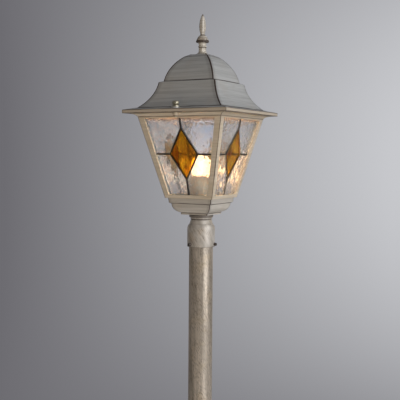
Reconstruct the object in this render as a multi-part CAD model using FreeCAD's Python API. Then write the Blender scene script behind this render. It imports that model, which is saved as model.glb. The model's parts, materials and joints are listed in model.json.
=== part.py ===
import FreeCAD, Part
import math
import os

from FreeCAD import Vector

os.makedirs("parts", exist_ok=True)

# A garden lamp post in millimetres: +Z is up, the origin is the middle of the base's underside,
# and the front of the lantern faces -Y. Half sizes are from the axis to a flat side.

# Base casting
foot_radius = 80.0
foot_thickness = 8.0
foot_edge_round = 3.0
bell_radius = 47.0
bell_height = 47.0
bell_bead = 5.0
base_wall = 4.0
collar_wall = 5.8
collar_height = 34.0
collar_bead = 3.0
seat_width = 6.0
anchor_count = 4
anchor_circle_radius = 63.5
anchor_hole_radius = 4.5
grub_count = 3
grub_angle = 30.0
grub_radius = 3.0
grub_drop = 14.0
grub_socket = 3.0

# Post tube
tube_radius = 20.0
tube_wall = 1.5
tube_length = 792.0

# Terminal block and its bracket, inside the base
block_width = 28.0
block_depth = 14.0
block_height = 16.0
block_drop = 7.0
block_offset = 1.0
block_poles = 3
pole_pitch = 9.0
pole_hole_radius = 1.9
bracket_width = 14.0
bracket_sheet = 1.5
bracket_margin = 2.4
small_screw_radius = 1.25
small_head_radius = 2.6
small_head_height = 1.8
small_screw_grip = 3.0
earth_screw_radius = 2.0
earth_head_radius = 3.6
earth_head_height = 2.4

# Fitter that clamps the lantern on the post
swivel_clearance = 0.2
fitter_wall = 2.8
fitter_skirt = 29.0
fitter_grip = 30.0
shoulder_radius = 19.2
shoulder_height = 9.0
neck_radius = 17.3
neck_taper_height = 7.0
neck_groove = 0.8
neck_groove_height = 1.0
neck_ring_radius = 17.9
neck_ring_height = 3.0
fitter_top_radius = 20.0
fitter_top_height = 3.0
fitter_web = 6.0
fitter_core_radius = 13.0
clamp_count = 3
clamp_angle = 10.0
clamp_screw_radius = 2.5
clamp_screw_level = 4.2
clamp_screw_proud = 4.0
clamp_socket = 2.5
socket_depth = 2.2
tip_clearance = 0.2
thread_clearance = 0.1

# Gasket, nipple and its nuts
gasket_radius = 18.8
gasket_thickness = 1.6
nipple_radius = 5.0
nipple_bore_radius = 3.7
nipple_spare = 2.0
hole_clearance = 0.2
nut_across_flats = 17.0
nut_height = 4.0
washer_radius = 9.0
washer_thickness = 1.2
lead_radius = 3.1

# Pan under the lantern, square in plan
pan_foot_half = 24.5
pan_foot_height = 3.0
bowl_foot_half = 23.4
bowl_rim_half = 35.8
bowl_height = 14.9
pan_step_height = 1.9
band_draft = 0.9
band_step = 3.8
band_height = 7.8
pan_wall = 2.5

# Cage: four tapered corner posts between two rails
cage_foot_half = 43.7
cage_head_half = 75.8
cage_height = 130.9
cage_wall = 2.6
cage_flange = 3.0
cage_flange_opening = 26.0
cage_corner_fill = 3.5
cornice_reach = 8.4
cornice_height = 5.4
cornice_edge = 0.9
cornice_cove = 1.3
window_foot_rail = 5.5
window_head_rail = 2.8
post_flange_foot = 8.7
post_flange_head = 10.5
cage_screw_inset = 12.7
cage_screw_radius = 2.0
cage_screw_length = 13.0
cage_screw_head_radius = 3.8
cage_screw_head_height = 2.4
boss_radius = 4.6
boss_height = 13.0

# Leaded panes behind the windows
glass_thickness = 2.2
came_lip = 0.5
came_face = 3.0
came_heart = 1.0
border_face = 1.5
border_web = 0.8
glass_clearance = 0.1
glazing_gap = 0.1
pane_head_rise = 2.6
pane_gap_foot = 0.3
pane_gap_head = 2.0
lozenge_level = 72.8
lozenge_half_width = 25.0
lozenge_rise = 42.0
lozenge_fall = 41.4

# Corner beads that hold the panes from inside
bead_sheet = 1.0
bead_gap = 0.05
bead_leg = 5.0
bead_head_drop = 4.0
bead_tab = 5.0
bead_screw_drop = 12.0
bead_screw_radius = 1.1
bead_screw_head = 2.3
bead_screw_head_height = 1.5
bead_screw_bite = 1.5

# Lampholder on its bracket
holder_bracket_height = 12.0
holder_bracket_half = 14.0
holder_bracket_ear = 5.5
holder_bracket_depth = 16.0
holder_screw_at = 16.8
holder_screw_bite = 7.0
holder_radius = 20.6
holder_height = 49.3
holder_rim_round = 2.0
holder_floor = 16.0
holder_recess_radius = 11.5
holder_recess_height = 10.0
socket_radius = 14.6
shell_gap = 0.15
shell_wall = 0.8
shell_height = 25.0
contact_radius = 4.5
contact_thickness = 1.0
contact_rivet_radius = 2.2

# Bulb
cap_radius = 13.2
cap_height = 20.0
cap_wall = 0.7
insulator_height = 3.2
insulator_radius = 10.0
tip_radius = 4.6
tip_height = 1.4
bulb_seat_gap = 0.3
globe_radius = 18.5
globe_neck_radius = 12.3
globe_neck_height = 8.5
globe_neck_flare = 13.2
globe_wall = 0.8
globe_tuck = 4.0

# Roof: brim, flared skirt, ledge, dome and cap, square in plan
brim_overhang = 9.8
brim_edge = 5.5
brim_rise = 3.9
skirt_foot_step = 0.5
skirt_head_half = 51.7
skirt_height = 41.6
skirt_bow = 4.4
ledge_rise = 1.9
dome_foot_half = 45.7
dome_head_half = 21.6
dome_height = 40.9
dome_bow = 4.4
cap_top_half = 14.2
cap_rise = 3.9
roof_wall = 2.6

# Thumb screws through the brim, with their pads and the cage's lugs
thumb_reach = 7.7
pad_radius = 6.6
pad_rise = 3.0
thumb_washer_radius = 6.2
thumb_washer_thickness = 1.0
thumb_flange_radius = 5.6
thumb_flange_height = 1.0
thumb_waist_radius = 3.0
thumb_waist_height = 0.8
thumb_ball_radius = 5.3
thumb_ball_height = 6.6
thumb_crown_radius = 3.2
thumb_tip_spare = 1.5
thumb_shank_radius = 2.0
lug_radius = 3.6
lug_height = 6.0
lug_web = 5.0

# Finial
finial_sides = 8
finial_foot_radius = 14.0
finial_foot_height = 5.1
finial_foot_bow = 1.2
column_half = 5.65
column_height = 6.5
finial_ring_radius = 7.1
finial_ring_height = 3.1
finial_neck_radius = 5.9
finial_neck_height = 5.5
finial_neck_flare = 7.4
bell_collar_radius = 10.8
bell_collar_edge = 2.6
bell_collar_round = 0.5
bell_collar_height = 10.8
bell_collar_bow = 0.5
bell_collar_top = 5.5
throat_half = 3.45
throat_height = 3.9
spear_belly_half = 5.15
spear_belly_rise = 10.9
spear_tip_rise = 20.1
spear_tip_half = 0.5
stud_radius = 3.0
stud_spare = 2.0
stud_nut_across_flats = 10.0
stud_nut_height = 5.0
stud_washer_radius = 6.0
stud_washer_thickness = 1.2

# Levels and radii that follow from the sizes above
collar_radius = tube_radius + hole_clearance + collar_wall
seat_z = foot_thickness + bell_height
collar_top_z = seat_z + collar_height
seat_radius = tube_radius - seat_width
tube_top_z = seat_z + tube_length
fitter_z = tube_top_z - fitter_grip
fitter_radius = tube_radius + swivel_clearance + fitter_wall
shoulder_z = fitter_z + fitter_skirt + shoulder_height
neck_z = shoulder_z + neck_taper_height
neck_ring_z = neck_z + neck_groove_height
fitter_top_z = neck_ring_z + neck_ring_height + fitter_top_height
web_z = fitter_top_z - fitter_web
pan_z = fitter_top_z + gasket_thickness
floor_z = pan_z + pan_foot_height
bowl_rim_z = floor_z + bowl_height
band_z = bowl_rim_z + pan_step_height
cage_z = band_z + band_height
cage_flange_z = cage_z + cage_flange
cornice_z = cage_z + cage_height
cage_top_z = cornice_z + cornice_height
brim_top_z = cage_top_z + brim_edge
skirt_z = brim_top_z + brim_rise
ledge_z = skirt_z + skirt_height
dome_z = ledge_z + ledge_rise
dome_top_z = dome_z + dome_height
roof_top_z = dome_top_z + cap_rise
holder_z = floor_z + holder_bracket_height
socket_floor_z = holder_z + holder_floor
small_thread = small_screw_radius + thread_clearance
small_hole = small_screw_radius + hole_clearance
nipple_hole = nipple_radius + hole_clearance
thumb_hole = thumb_shank_radius + hole_clearance
cornice_half = cage_head_half + cornice_reach
brim_half = cornice_half + brim_overhang
skirt_foot_half = cage_head_half + skirt_foot_step
thumb_at = cage_head_half + thumb_reach
band_head_half = cage_foot_half - band_step
band_foot_half = band_head_half - band_draft
cage_screw_at = cage_foot_half - cage_screw_inset
lean = math.degrees(math.atan2(cage_head_half - cage_foot_half, cage_height))
lean_cos = math.cos(math.radians(lean))
lean_sin = math.sin(math.radians(lean))
slope_length = cage_height / lean_cos
came_depth = glass_thickness + 2 * (came_lip + glass_clearance)
came_back = cage_wall + glazing_gap
glazing_depth = came_back + came_depth

ORIGIN = Vector(0, 0, 0)
UP = Vector(0, 0, 1)
face_names = ("front", "right", "rear", "left")


def edges_along(steps):
    """Edges in the XZ plane through the steps: a point (r, z), or an arc's middle and end points."""
    edges = []
    here = Vector(steps[0][0], 0, steps[0][1])
    for step in steps[1:]:
        if isinstance(step[0], tuple):
            middle = Vector(step[0][0], 0, step[0][1])
            end = Vector(step[1][0], 0, step[1][1])
            edges.append(Part.Arc(here, middle, end).toShape())
        else:
            end = Vector(step[0], 0, step[1])
            if not end.isEqual(here, 1e-6):
                edges.append(Part.makeLine(here, end))
        here = end
    return edges


def turned(steps):
    """Solid of revolution about Z of a half outline, closed by a line unless its last arc closes it."""
    last = steps[-1][1] if isinstance(steps[-1][0], tuple) else steps[-1]
    closing = [] if last == steps[0] else steps[:1]
    face = Part.Face(Part.Wire(edges_along(steps + closing)))
    return face.revolve(ORIGIN, UP, 360)


def mitred(steps, sides=4):
    """Solid with flat sides and mitred corners, from one side's outline, axis to axis upwards."""
    side = edges_along(steps)
    other = [edge.mirror(ORIGIN, Vector(1, 0, 0)) for edge in side]
    face = Part.Face(Part.Wire(Part.__sortEdges__(side + other)))
    reach = 2 * face.BoundBox.XMax
    along = face.translated(Vector(0, -reach, 0)).extrude(Vector(0, 2 * reach, 0))
    solid = along
    for i in range(1, sides // 2):
        solid = solid.common(turn(along, 360 * i / sides))
    return solid.removeSplitter()


def upright_arc(upright, other):
    """Middle point of the arc that is vertical at one end and passes through the other."""
    across = other[0] - upright[0]
    rise = other[1] - upright[1]
    radius = (across ** 2 + rise ** 2) / (2 * across)
    centre = Vector(upright[0] + radius, 0, upright[1])
    bisector = Vector(upright[0], 0, upright[1]) - centre + Vector(other[0], 0, other[1]) - centre
    middle = centre + bisector.normalize() * abs(radius)
    return (middle.x, middle.z)


def bowed_arc(start, end, bow):
    """Middle point of the arc that bows to the left of the line from start to end."""
    across = end[0] - start[0]
    rise = end[1] - start[1]
    length = math.hypot(across, rise)
    return ((start[0] + end[0]) / 2 - rise * bow / length, (start[1] + end[1]) / 2 + across * bow / length)


def turn(shape, angle):
    """Copy of a shape turned about the post's axis."""
    return shape.rotated(ORIGIN, UP, angle)


def around(shape, count, start=0):
    """Copies of a shape spaced evenly about the post's axis."""
    return [turn(shape, start + 360 * i / count) for i in range(count)]


def rod(radius, low, high, x=0, y=0):
    """Upright cylinder between two levels."""
    return Part.makeCylinder(radius, high - low, Vector(x, y, low), UP)


def ring(outer, inner, low, high, x=0, y=0):
    """Upright washer or tube between two levels."""
    return rod(outer, low, high, x, y).cut(rod(inner, low, high, x, y))


def block(x0, x1, y0, y1, z0, z1):
    """Upright box between two corners."""
    return Part.makeBox(x1 - x0, y1 - y0, z1 - z0, Vector(x0, y0, z0))


def polygon_wire(sides, radius, z):
    """Regular polygon on a level, one flat facing each of X and Y."""
    angles = [2 * math.pi * (i + 0.5) / sides for i in range(sides + 1)]
    return Part.makePolygon([Vector(radius * math.cos(a), radius * math.sin(a), z) for a in angles])


def prism(sides, radius, low, high):
    """Upright regular prism between two levels."""
    return Part.Face(polygon_wire(sides, radius, low)).extrude(Vector(0, 0, high - low))


def nut(across_flats, bore, low, high):
    """Hexagon nut between two levels."""
    return prism(6, across_flats / math.sqrt(3), low, high).cut(rod(bore, low, high))


def set_screw(radius, tip_at, end_at, socket):
    """Socket set screw lying along +X, its coned tip nearest the axis."""
    along = Vector(1, 0, 0)
    cone = radius / 2
    tip = Part.makeCone(cone, radius, cone, Vector(tip_at, 0, 0), along)
    body = Part.makeCylinder(radius, end_at - tip_at - cone, Vector(tip_at + cone, 0, 0), along)
    key = prism(6, socket / math.sqrt(3), end_at - socket_depth, end_at).rotated(ORIGIN, Vector(0, 1, 0), 90)
    return tip.fuse(body).cut(key).removeSplitter()


def headed_screw(shank, length, head, head_height):
    """Cheese-head screw pointing down, its head seated on level 0."""
    crown = head - head_height / 3
    outline = [(0, -length), (shank, -length), (shank, 0), (head, 0), (head, head_height / 2),
               (crown, head_height), (0, head_height)]
    return turned(outline)


def save(name, shapes):
    """Write a sub-part, one solid or a group of like solids."""
    shape = Part.makeCompound(shapes) if isinstance(shapes, list) else shapes
    shape.exportStep(f"parts/{name}.step")


def base_flange():
    """Round cast foot: a flat ring for the anchors, a hollow bell and a collar for the tube."""
    bell_top = (collar_radius, seat_z)
    bell_foot = (bell_radius, foot_thickness)
    inner_top = (collar_radius - base_wall, seat_z - base_wall)
    inner_foot = (bell_radius - base_wall, 0)
    bead_end = bell_radius + bell_bead
    bead_crest = (bell_radius + bell_bead / 2, foot_thickness + bell_bead / 2)
    round_mid = foot_edge_round * (1 - math.sqrt(0.5))
    collar_lip_z = collar_top_z - 2 * collar_bead
    outline = [
        inner_foot,
        (foot_radius, 0),
        (foot_radius, foot_thickness - foot_edge_round),
        ((foot_radius - round_mid, foot_thickness - round_mid),
         (foot_radius - foot_edge_round, foot_thickness)),
        (bead_end, foot_thickness),
        (bead_crest, bell_foot),
        (upright_arc(bell_top, bell_foot), bell_top),
        (collar_radius, collar_lip_z),
        ((collar_radius + collar_bead, collar_lip_z + collar_bead), (collar_radius, collar_top_z)),
        (tube_radius + hole_clearance, collar_top_z),
        (tube_radius + hole_clearance, seat_z),
        (seat_radius, seat_z),
        (seat_radius, inner_top[1]),
        inner_top,
        (upright_arc(inner_top, inner_foot), inner_foot),
    ]
    casting = turned(outline)
    hole = rod(anchor_hole_radius, 0, foot_thickness, anchor_circle_radius)
    thread = Part.makeCylinder(grub_radius + thread_clearance, foot_radius,
                               Vector(0, 0, collar_top_z - grub_drop), Vector(1, 0, 0))
    bracket_thread = rod(small_thread, inner_top[1], seat_z, 0, terminal_screw_at())
    earth_thread = rod(earth_screw_radius + thread_clearance, inner_top[1], seat_z, 0, -terminal_screw_at())
    cuts = around(hole, anchor_count, 180 / anchor_count) + around(thread, grub_count, grub_angle)
    return casting.cut(cuts + [bracket_thread, earth_thread])


def terminal_screw_at():
    """Radius of the screws that go up into the tube's seat."""
    return (seat_radius + collar_radius - base_wall) / 2


def base_grub_screws():
    """Grub screws that hold the tube in the collar, flush with its outside."""
    screw = set_screw(grub_radius, tube_radius + thread_clearance, collar_radius, grub_socket)
    return around(screw.translated(Vector(0, 0, collar_top_z - grub_drop)), grub_count, grub_angle)


def terminal_levels():
    """Underside of the tube's seat, and the block's top and foot."""
    under = seat_z - base_wall
    top = under - block_drop
    return under, top, top - block_height


def terminal_block():
    """Block with one wire way and two clamp-screw holes for each pole."""
    under, top, foot = terminal_levels()
    front = block_offset - block_depth / 2
    body = block(-block_width / 2, block_width / 2, front, front + block_depth, foot, top)
    first = -pole_pitch * (block_poles - 1) / 2
    cuts = []
    for i in range(block_poles):
        x = first + i * pole_pitch
        cuts.append(rod(pole_hole_radius, foot, top, x, 0))
        for z in (foot + block_height / 4, top - block_height / 4):
            cuts.append(Part.makeCylinder(pole_hole_radius, -front, Vector(x, front, z), Vector(0, 1, 0)))
    for x in block_screws_at():
        start = Vector(x, front, foot + block_height / 2)
        cuts.append(Part.makeCylinder(small_thread, block_depth, start, Vector(0, 1, 0)))
    return body.cut(cuts)


def block_screws_at():
    """The block's two fixing screws stand between its poles."""
    return (-pole_pitch / 2, pole_pitch / 2)


def terminal_bracket():
    """Bent plate: its flange is screwed under the tube's seat, and it carries the block."""
    under, top, foot = terminal_levels()
    back = block_offset + block_depth / 2
    half = bracket_width / 2
    plate = block(-half, half, back, back + bracket_sheet, foot, under)
    flange = block(-half, half, back, terminal_screw_at() + bracket_margin, under - bracket_sheet, under)
    holes = [rod(small_thread, under - bracket_sheet, under, 0, terminal_screw_at())]
    for x in block_screws_at():
        start = Vector(x, back, foot + block_height / 2)
        holes.append(Part.makeCylinder(small_thread, bracket_sheet, start, Vector(0, 1, 0)))
    return plate.fuse(flange).cut(holes).removeSplitter()


def terminal_screws():
    """One screw up into the seat and two through the block into its bracket."""
    under, top, foot = terminal_levels()
    front = block_offset - block_depth / 2
    grip = bracket_sheet + small_screw_grip
    upward = headed_screw(small_screw_radius, grip, small_head_radius, small_head_height)
    upward = upward.rotated(ORIGIN, Vector(1, 0, 0), 180)
    screws = [upward.translated(Vector(0, terminal_screw_at(), under - bracket_sheet))]
    through_length = block_depth + bracket_sheet
    through = headed_screw(small_screw_radius, through_length, small_head_radius, small_head_height)
    through = through.rotated(ORIGIN, Vector(1, 0, 0), 90)
    for x in block_screws_at():
        screws.append(through.translated(Vector(x, front, foot + block_height / 2)))
    return screws


def earth_screw():
    """Brass earth screw up into the tube's seat, opposite the bracket."""
    screw = headed_screw(earth_screw_radius, small_screw_grip, earth_head_radius, earth_head_height)
    screw = screw.rotated(ORIGIN, Vector(1, 0, 0), 180)
    return screw.translated(Vector(0, -terminal_screw_at(), seat_z - base_wall))


def post_tube():
    """Plain tube standing on the base's seat."""
    return ring(tube_radius, tube_radius - tube_wall, seat_z, tube_top_z)


def post_fitter():
    """Turned bell: a skirt over the tube, a shoulder, a grooved neck and a top flange."""
    bore = tube_radius + swivel_clearance
    skirt_top = (fitter_radius, fitter_z + fitter_skirt)
    shoulder = (shoulder_radius, shoulder_z)
    groove = neck_radius - neck_groove
    outline = [
        (bore, fitter_z),
        (fitter_radius, fitter_z),
        skirt_top,
        (upright_arc(skirt_top, shoulder), shoulder),
        (neck_radius, neck_z),
        (groove, neck_z),
        (groove, neck_ring_z),
        (neck_ring_radius, neck_ring_z),
        (neck_ring_radius, neck_ring_z + neck_ring_height),
        (fitter_top_radius, neck_ring_z + neck_ring_height),
        (fitter_top_radius, fitter_top_z),
        (nipple_hole, fitter_top_z),
        (nipple_hole, web_z),
        (fitter_core_radius, web_z),
        (fitter_core_radius, tube_top_z),
        (bore, tube_top_z),
    ]
    thread = Part.makeCylinder(clamp_screw_radius + thread_clearance, 2 * fitter_radius,
                               Vector(0, 0, fitter_z + clamp_screw_level), Vector(1, 0, 0))
    return turned(outline).cut(around(thread, clamp_count, clamp_angle))


def clamp_screw(number):
    """One of the set screws that clamp the fitter on the tube."""
    outer_end = fitter_radius + clamp_screw_proud
    screw = set_screw(clamp_screw_radius, tube_radius + tip_clearance, outer_end, clamp_socket)
    raised = screw.translated(Vector(0, 0, fitter_z + clamp_screw_level))
    return turn(raised, clamp_angle + 360 * number / clamp_count)


def neck_gasket():
    """Rubber ring between the fitter and the pan."""
    return ring(gasket_radius, nipple_hole, fitter_top_z, pan_z)


def nipple_levels():
    """Washer and nut stacks under the fitter's web and over the bracket's web."""
    low_washer = web_z - washer_thickness
    low_nut = low_washer - nut_height
    high_washer = floor_z + bracket_sheet
    high_nut = high_washer + washer_thickness
    return low_nut, low_washer, high_washer, high_nut


def threaded_nipple():
    """Hollow threaded rod that ties the fitter, pan and lampholder bracket together."""
    low_nut, low_washer, high_washer, high_nut = nipple_levels()
    top = high_nut + nut_height + nipple_spare
    return ring(nipple_radius, nipple_bore_radius, low_nut - nipple_spare, top)


def nipple_nuts():
    """The nipple's two nuts."""
    low_nut, low_washer, high_washer, high_nut = nipple_levels()
    bore = nipple_radius + thread_clearance
    return [nut(nut_across_flats, bore, z, z + nut_height) for z in (low_nut, high_nut)]


def nipple_washers():
    """The nipple's two washers."""
    low_nut, low_washer, high_washer, high_nut = nipple_levels()
    return [ring(washer_radius, nipple_hole, z, z + washer_thickness) for z in (low_washer, high_washer)]


def supply_lead():
    """Sheathed lead held inside the post, from the terminal block up the nipple to the lampholder."""
    under, top, foot = terminal_levels()
    return rod(lead_radius, top, holder_z + holder_recess_height / 2)


def lantern_pan():
    """Square dish: foot plate, rounded bowl and a stepped band, hollow, with a boss in each corner."""
    bowl_foot = (bowl_foot_half, floor_z)
    bowl_rim = (bowl_rim_half, bowl_rim_z)
    outer = mitred([
        (0, pan_z), (pan_foot_half, pan_z), (pan_foot_half, floor_z), bowl_foot,
        (upright_arc(bowl_rim, bowl_foot), bowl_rim),
        (band_foot_half, band_z), (band_head_half, cage_z), (0, cage_z),
    ])
    cave_foot = (bowl_foot_half - pan_wall, floor_z)
    cave_rim = (bowl_rim_half - pan_wall, bowl_rim_z)
    cavity = mitred([
        (0, floor_z), cave_foot, (upright_arc(cave_rim, cave_foot), cave_rim),
        (cave_rim[0], cage_z + cage_flange), (0, cage_z + cage_flange),
    ])
    boss = rod(boss_radius, cage_z - boss_height, cage_z, cage_screw_at, cage_screw_at)
    thread = rod(cage_screw_radius + thread_clearance, cage_flange_z - cage_screw_length, cage_z,
                 cage_screw_at, cage_screw_at)
    dish = outer.cut(cavity).fuse([outer.common(one) for one in around(boss, 4)])
    return dish.cut(around(thread, 4) + [rod(nipple_hole, pan_z, floor_z)]).removeSplitter()


def cage_half(z):
    """Half width of the cage's outside at a level."""
    return cage_foot_half + (z - cage_z) * math.tan(math.radians(lean))


def half_up(up):
    """Half width of the cage's outside at a distance up the slope."""
    return cage_foot_half + up * lean_sin


def inside_half(z):
    """Half width of the cage's inside at a level."""
    return cage_half(z) - cage_wall / lean_cos


def slab(outline, near, far):
    """Plate with a flat outline (across, up) between two depths behind a cage face."""
    corners = [Vector(across, near, up) for across, up in outline + outline[:1]]
    return Part.Face(Part.makePolygon(corners)).extrude(Vector(0, far - near, 0))


def on_face(shape, number=0):
    """Lean a shape drawn upright on XZ back onto a sloping face of the cage, the front being 0."""
    leaned = shape.rotated(ORIGIN, Vector(1, 0, 0), lean).translated(Vector(0, -cage_foot_half, cage_z))
    return turn(leaned, 90 * number)


def window_outline():
    """Window in a cage face, between its rails and posts."""
    foot = window_foot_rail
    head = slope_length - window_head_rail
    foot_half = half_up(foot) - post_flange_foot
    head_half = half_up(head) - post_flange_head
    return [(-foot_half, foot), (foot_half, foot), (head_half, head), (-head_half, head)]


def lug():
    """Ear under the brim at the middle of the front, for a thumb screw."""
    ear = rod(lug_radius, cage_top_z - lug_height, cage_top_z, 0, -thumb_at)
    root = cage_wall - cage_head_half
    web = block(-lug_web / 2, lug_web / 2, -thumb_at, root, cage_top_z - lug_height, cage_top_z)
    return ear.fuse(web)


def lantern_cage():
    """Tapered frame with a cornice on top and a flange inside its foot, cast in one."""
    cornice_foot = (cage_head_half, cornice_z)
    cornice_top = (cornice_half, cage_top_z - cornice_edge)
    outer = mitred([
        (0, cage_z), (cage_foot_half, cage_z), cornice_foot,
        (bowed_arc(cornice_foot, cornice_top, cornice_cove), cornice_top),
        (cornice_half, cage_top_z), (0, cage_top_z),
    ])
    top = cage_top_z + cage_flange
    low = cage_flange_z
    cavity = mitred([(0, low), (inside_half(low), low), (inside_half(top), top), (0, top)])
    fill_low = (2 * inside_half(low) - cage_corner_fill) / math.sqrt(2)
    fill_high = (2 * inside_half(top) - cage_corner_fill) / math.sqrt(2)
    corners = mitred([(0, low), (fill_low, low), (fill_high, top), (0, top)])
    cavity = cavity.common(turn(corners, 45))
    opening = block(-cage_flange_opening, cage_flange_opening, -cage_flange_opening, cage_flange_opening,
                    cage_z, cage_flange_z)
    cage = outer.fuse([lug(), turn(lug(), 180)]).cut([cavity, opening])
    window = slab(window_outline(), -cage_wall, 2 * cage_wall)
    screw_hole = rod(cage_screw_radius + hole_clearance, cage_z, cage_flange_z, cage_screw_at, cage_screw_at)
    lug_hole = rod(thumb_shank_radius + thread_clearance, cage_top_z - lug_height, cage_top_z, 0, -thumb_at)
    cuts = [on_face(window, i) for i in range(4)] + around(screw_hole, 4) + around(lug_hole, 2)
    cuts += around(bead_screw(bead_screw_radius + thread_clearance), 4)
    return cage.cut(cuts).removeSplitter()


def cage_screws():
    """Screws down through the bead tabs and the cage's flange into the pan's bosses."""
    screw = headed_screw(cage_screw_radius, cage_screw_length, cage_screw_head_radius, cage_screw_head_height)
    seated = screw.translated(Vector(cage_screw_at, cage_screw_at, cage_flange_z + bead_gap + bead_sheet))
    return around(seated, 4)


def offset_outline(points, distance):
    """Convex outline, listed anticlockwise, moved outwards by a distance."""
    moved = []
    for i, corner in enumerate(points):
        before = points[i - 1]
        after = points[(i + 1) % len(points)]
        arriving = Vector(corner[1] - before[1], before[0] - corner[0], 0).normalize()
        leaving = Vector(after[1] - corner[1], corner[0] - after[0], 0).normalize()
        push = (arriving + leaving) * (distance / (1 + arriving.dot(leaving)))
        moved.append((corner[0] + push.x, corner[1] + push.y))
    return moved


def pane_half(up, gap):
    """Half width of a pane that leaves a gap to the pane round the corner."""
    return half_up(up) - (glazing_depth + gap) / lean_cos


def pane_outline():
    """Outer edge of a leaded panel, standing on the cage's inner flange."""
    foot = (cage_flange - came_back * lean_sin) / lean_cos
    head = slope_length + pane_head_rise
    foot_half = pane_half(foot, pane_gap_foot)
    head_half = pane_half(head, pane_gap_head)
    return [(-foot_half, foot), (foot_half, foot), (head_half, head), (-head_half, head)]


def lozenge_outline():
    """The lozenge's corners: foot, right, head and left."""
    return [
        (0, lozenge_level - lozenge_fall),
        (lozenge_half_width, lozenge_level),
        (0, lozenge_level + lozenge_rise),
        (-lozenge_half_width, lozenge_level),
    ]


def tie_outlines(width):
    """Straight strips from the lozenge's four corners out past the panel's edge."""
    half = width / 2
    far = slope_length + pane_half(slope_length, 0)
    foot, right, head, left = lozenge_outline()
    level = lozenge_level
    return [
        [(-half, -far), (half, -far), (half, foot[1]), (-half, foot[1])],
        [(-half, head[1]), (half, head[1]), (half, far), (-half, far)],
        [(right[0], level - half), (far, level - half), (far, level + half), (right[0], level + half)],
        [(-far, level - half), (left[0], level - half), (left[0], level + half), (-far, level + half)],
    ]


def lead_lines(width, near, far):
    """Plates of the lozenge's frame and its four ties, all of one width."""
    frame = slab(offset_outline(lozenge_outline(), width / 2), near, far)
    frame = frame.cut(slab(offset_outline(lozenge_outline(), -width / 2), near, far))
    return [frame] + [slab(outline, near, far) for outline in tie_outlines(width)]


def glass_plates(spare):
    """The panel's five pieces of glass, made larger all round by a clearance."""
    near = came_back + came_lip + glass_clearance - spare
    far = near + glass_thickness + 2 * spare
    sheet = slab(offset_outline(pane_outline(), spare - border_web - glass_clearance), near, far)
    return sheet.cut(lead_lines(came_heart + 2 * (glass_clearance - spare), near, far))


def panel_inside():
    """The panel inside its border, as deep as the lead."""
    return slab(offset_outline(pane_outline(), -border_face), came_back, glazing_depth)


def lead_came():
    """Lead of one panel: H-section lines, soldered into one piece and ending at the border."""
    inside = panel_inside()
    lines = [line.common(inside) for line in lead_lines(came_face, came_back, glazing_depth)]
    return lines[0].fuse(lines[1:]).removeSplitter().cut(glass_plates(glass_clearance))


def zinc_border():
    """Channel round the edge of one panel."""
    edge = slab(pane_outline(), came_back, glazing_depth)
    return edge.cut([panel_inside()] + glass_plates(glass_clearance).Solids)


def panel_glass():
    """The panel's four clear pieces, and its lozenge."""
    middle = Vector(0, (came_back + glazing_depth) / 2, lozenge_level)
    pieces = glass_plates(0).Solids
    lozenge = min(pieces, key=lambda piece: piece.CenterOfMass.distanceToPoint(middle))
    clear = [piece for piece in pieces if not piece.isSame(lozenge)]
    return clear, lozenge


def bead_screw(radius, head=0.0):
    """Screw out along the front right corner's diagonal, through a bead into the cage's corner."""
    z = cornice_z - bead_screw_drop
    corner = cage_half(z)
    inner = corner - (glazing_depth + bead_gap + bead_sheet) / lean_cos
    spread = math.hypot(1, math.sqrt(2) * lean_sin / lean_cos)
    seat = inner * math.sqrt(2) - bead_screw_head * spread - bead_gap
    tip = (corner - bead_screw_bite) * math.sqrt(2)
    along = Vector(1, -1, 0).normalize()
    up = Vector(0, 0, z)
    shank = Part.makeCylinder(radius, tip - seat, along * seat + up, along)
    if not head:
        return shank
    crown_start = along * (seat - bead_screw_head_height) + up
    crown = Part.makeCylinder(head, bead_screw_head_height, crown_start, along)
    return crown.fuse(shank).removeSplitter()


def corner_bead():
    """Angle strip behind two panes at the front right corner, with a foot tab under a cage screw."""
    near = glazing_depth + bead_gap
    far = near + bead_sheet
    foot = (cage_flange + bead_gap - near * lean_sin) / lean_cos
    head = slope_length - bead_head_drop
    foot_edge = half_up(foot) - near / lean_cos
    head_edge = half_up(head) - near / lean_cos
    right = [(foot_edge - bead_leg, foot), (foot_edge, foot), (head_edge, head), (head_edge - bead_leg, head)]
    left = [(-across, up) for across, up in reversed(right)]
    legs = on_face(slab(right, near, far)).fuse(on_face(slab(left, near, far), 1))
    z = cage_flange_z + bead_gap
    inner = cage_screw_at - bead_tab
    outer = cage_half(z) - near / lean_cos
    tab = block(inner, outer, -outer, -inner, z, z + bead_sheet)
    holes = [rod(cage_screw_radius + hole_clearance, z, z + bead_sheet, cage_screw_at, -cage_screw_at)]
    holes.append(bead_screw(bead_screw_radius + hole_clearance))
    return legs.fuse(tab).cut(holes).removeSplitter()


def lampholder_bracket():
    """Bent strap: a web under the nipple's nut, two legs, and ears that carry the lampholder."""
    half = holder_bracket_half
    sheet = bracket_sheet
    reach = half + holder_bracket_ear
    base = floor_z
    ears = holder_z
    outline = [
        (-half, base), (half, base), (half, ears - sheet), (reach, ears - sheet), (reach, ears),
        (half - sheet, ears), (half - sheet, base + sheet),
        (sheet - half, base + sheet), (sheet - half, ears),
        (-reach, ears), (-reach, ears - sheet), (-half, ears - sheet),
    ]
    strap = slab(outline, -holder_bracket_depth / 2, holder_bracket_depth / 2)
    cuts = [rod(nipple_hole, base, base + sheet)]
    cuts += around(rod(small_hole, ears - sheet, ears, holder_screw_at), 2)
    return strap.cut(cuts)


def lampholder_screws():
    """Two screws up through the ears into the lampholder."""
    length = bracket_sheet + holder_screw_bite
    screw = headed_screw(small_screw_radius, length, small_head_radius, small_head_height)
    upward = screw.rotated(ORIGIN, Vector(1, 0, 0), 180)
    return around(upward.translated(Vector(holder_screw_at, 0, holder_z - bracket_sheet)), 2)


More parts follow.
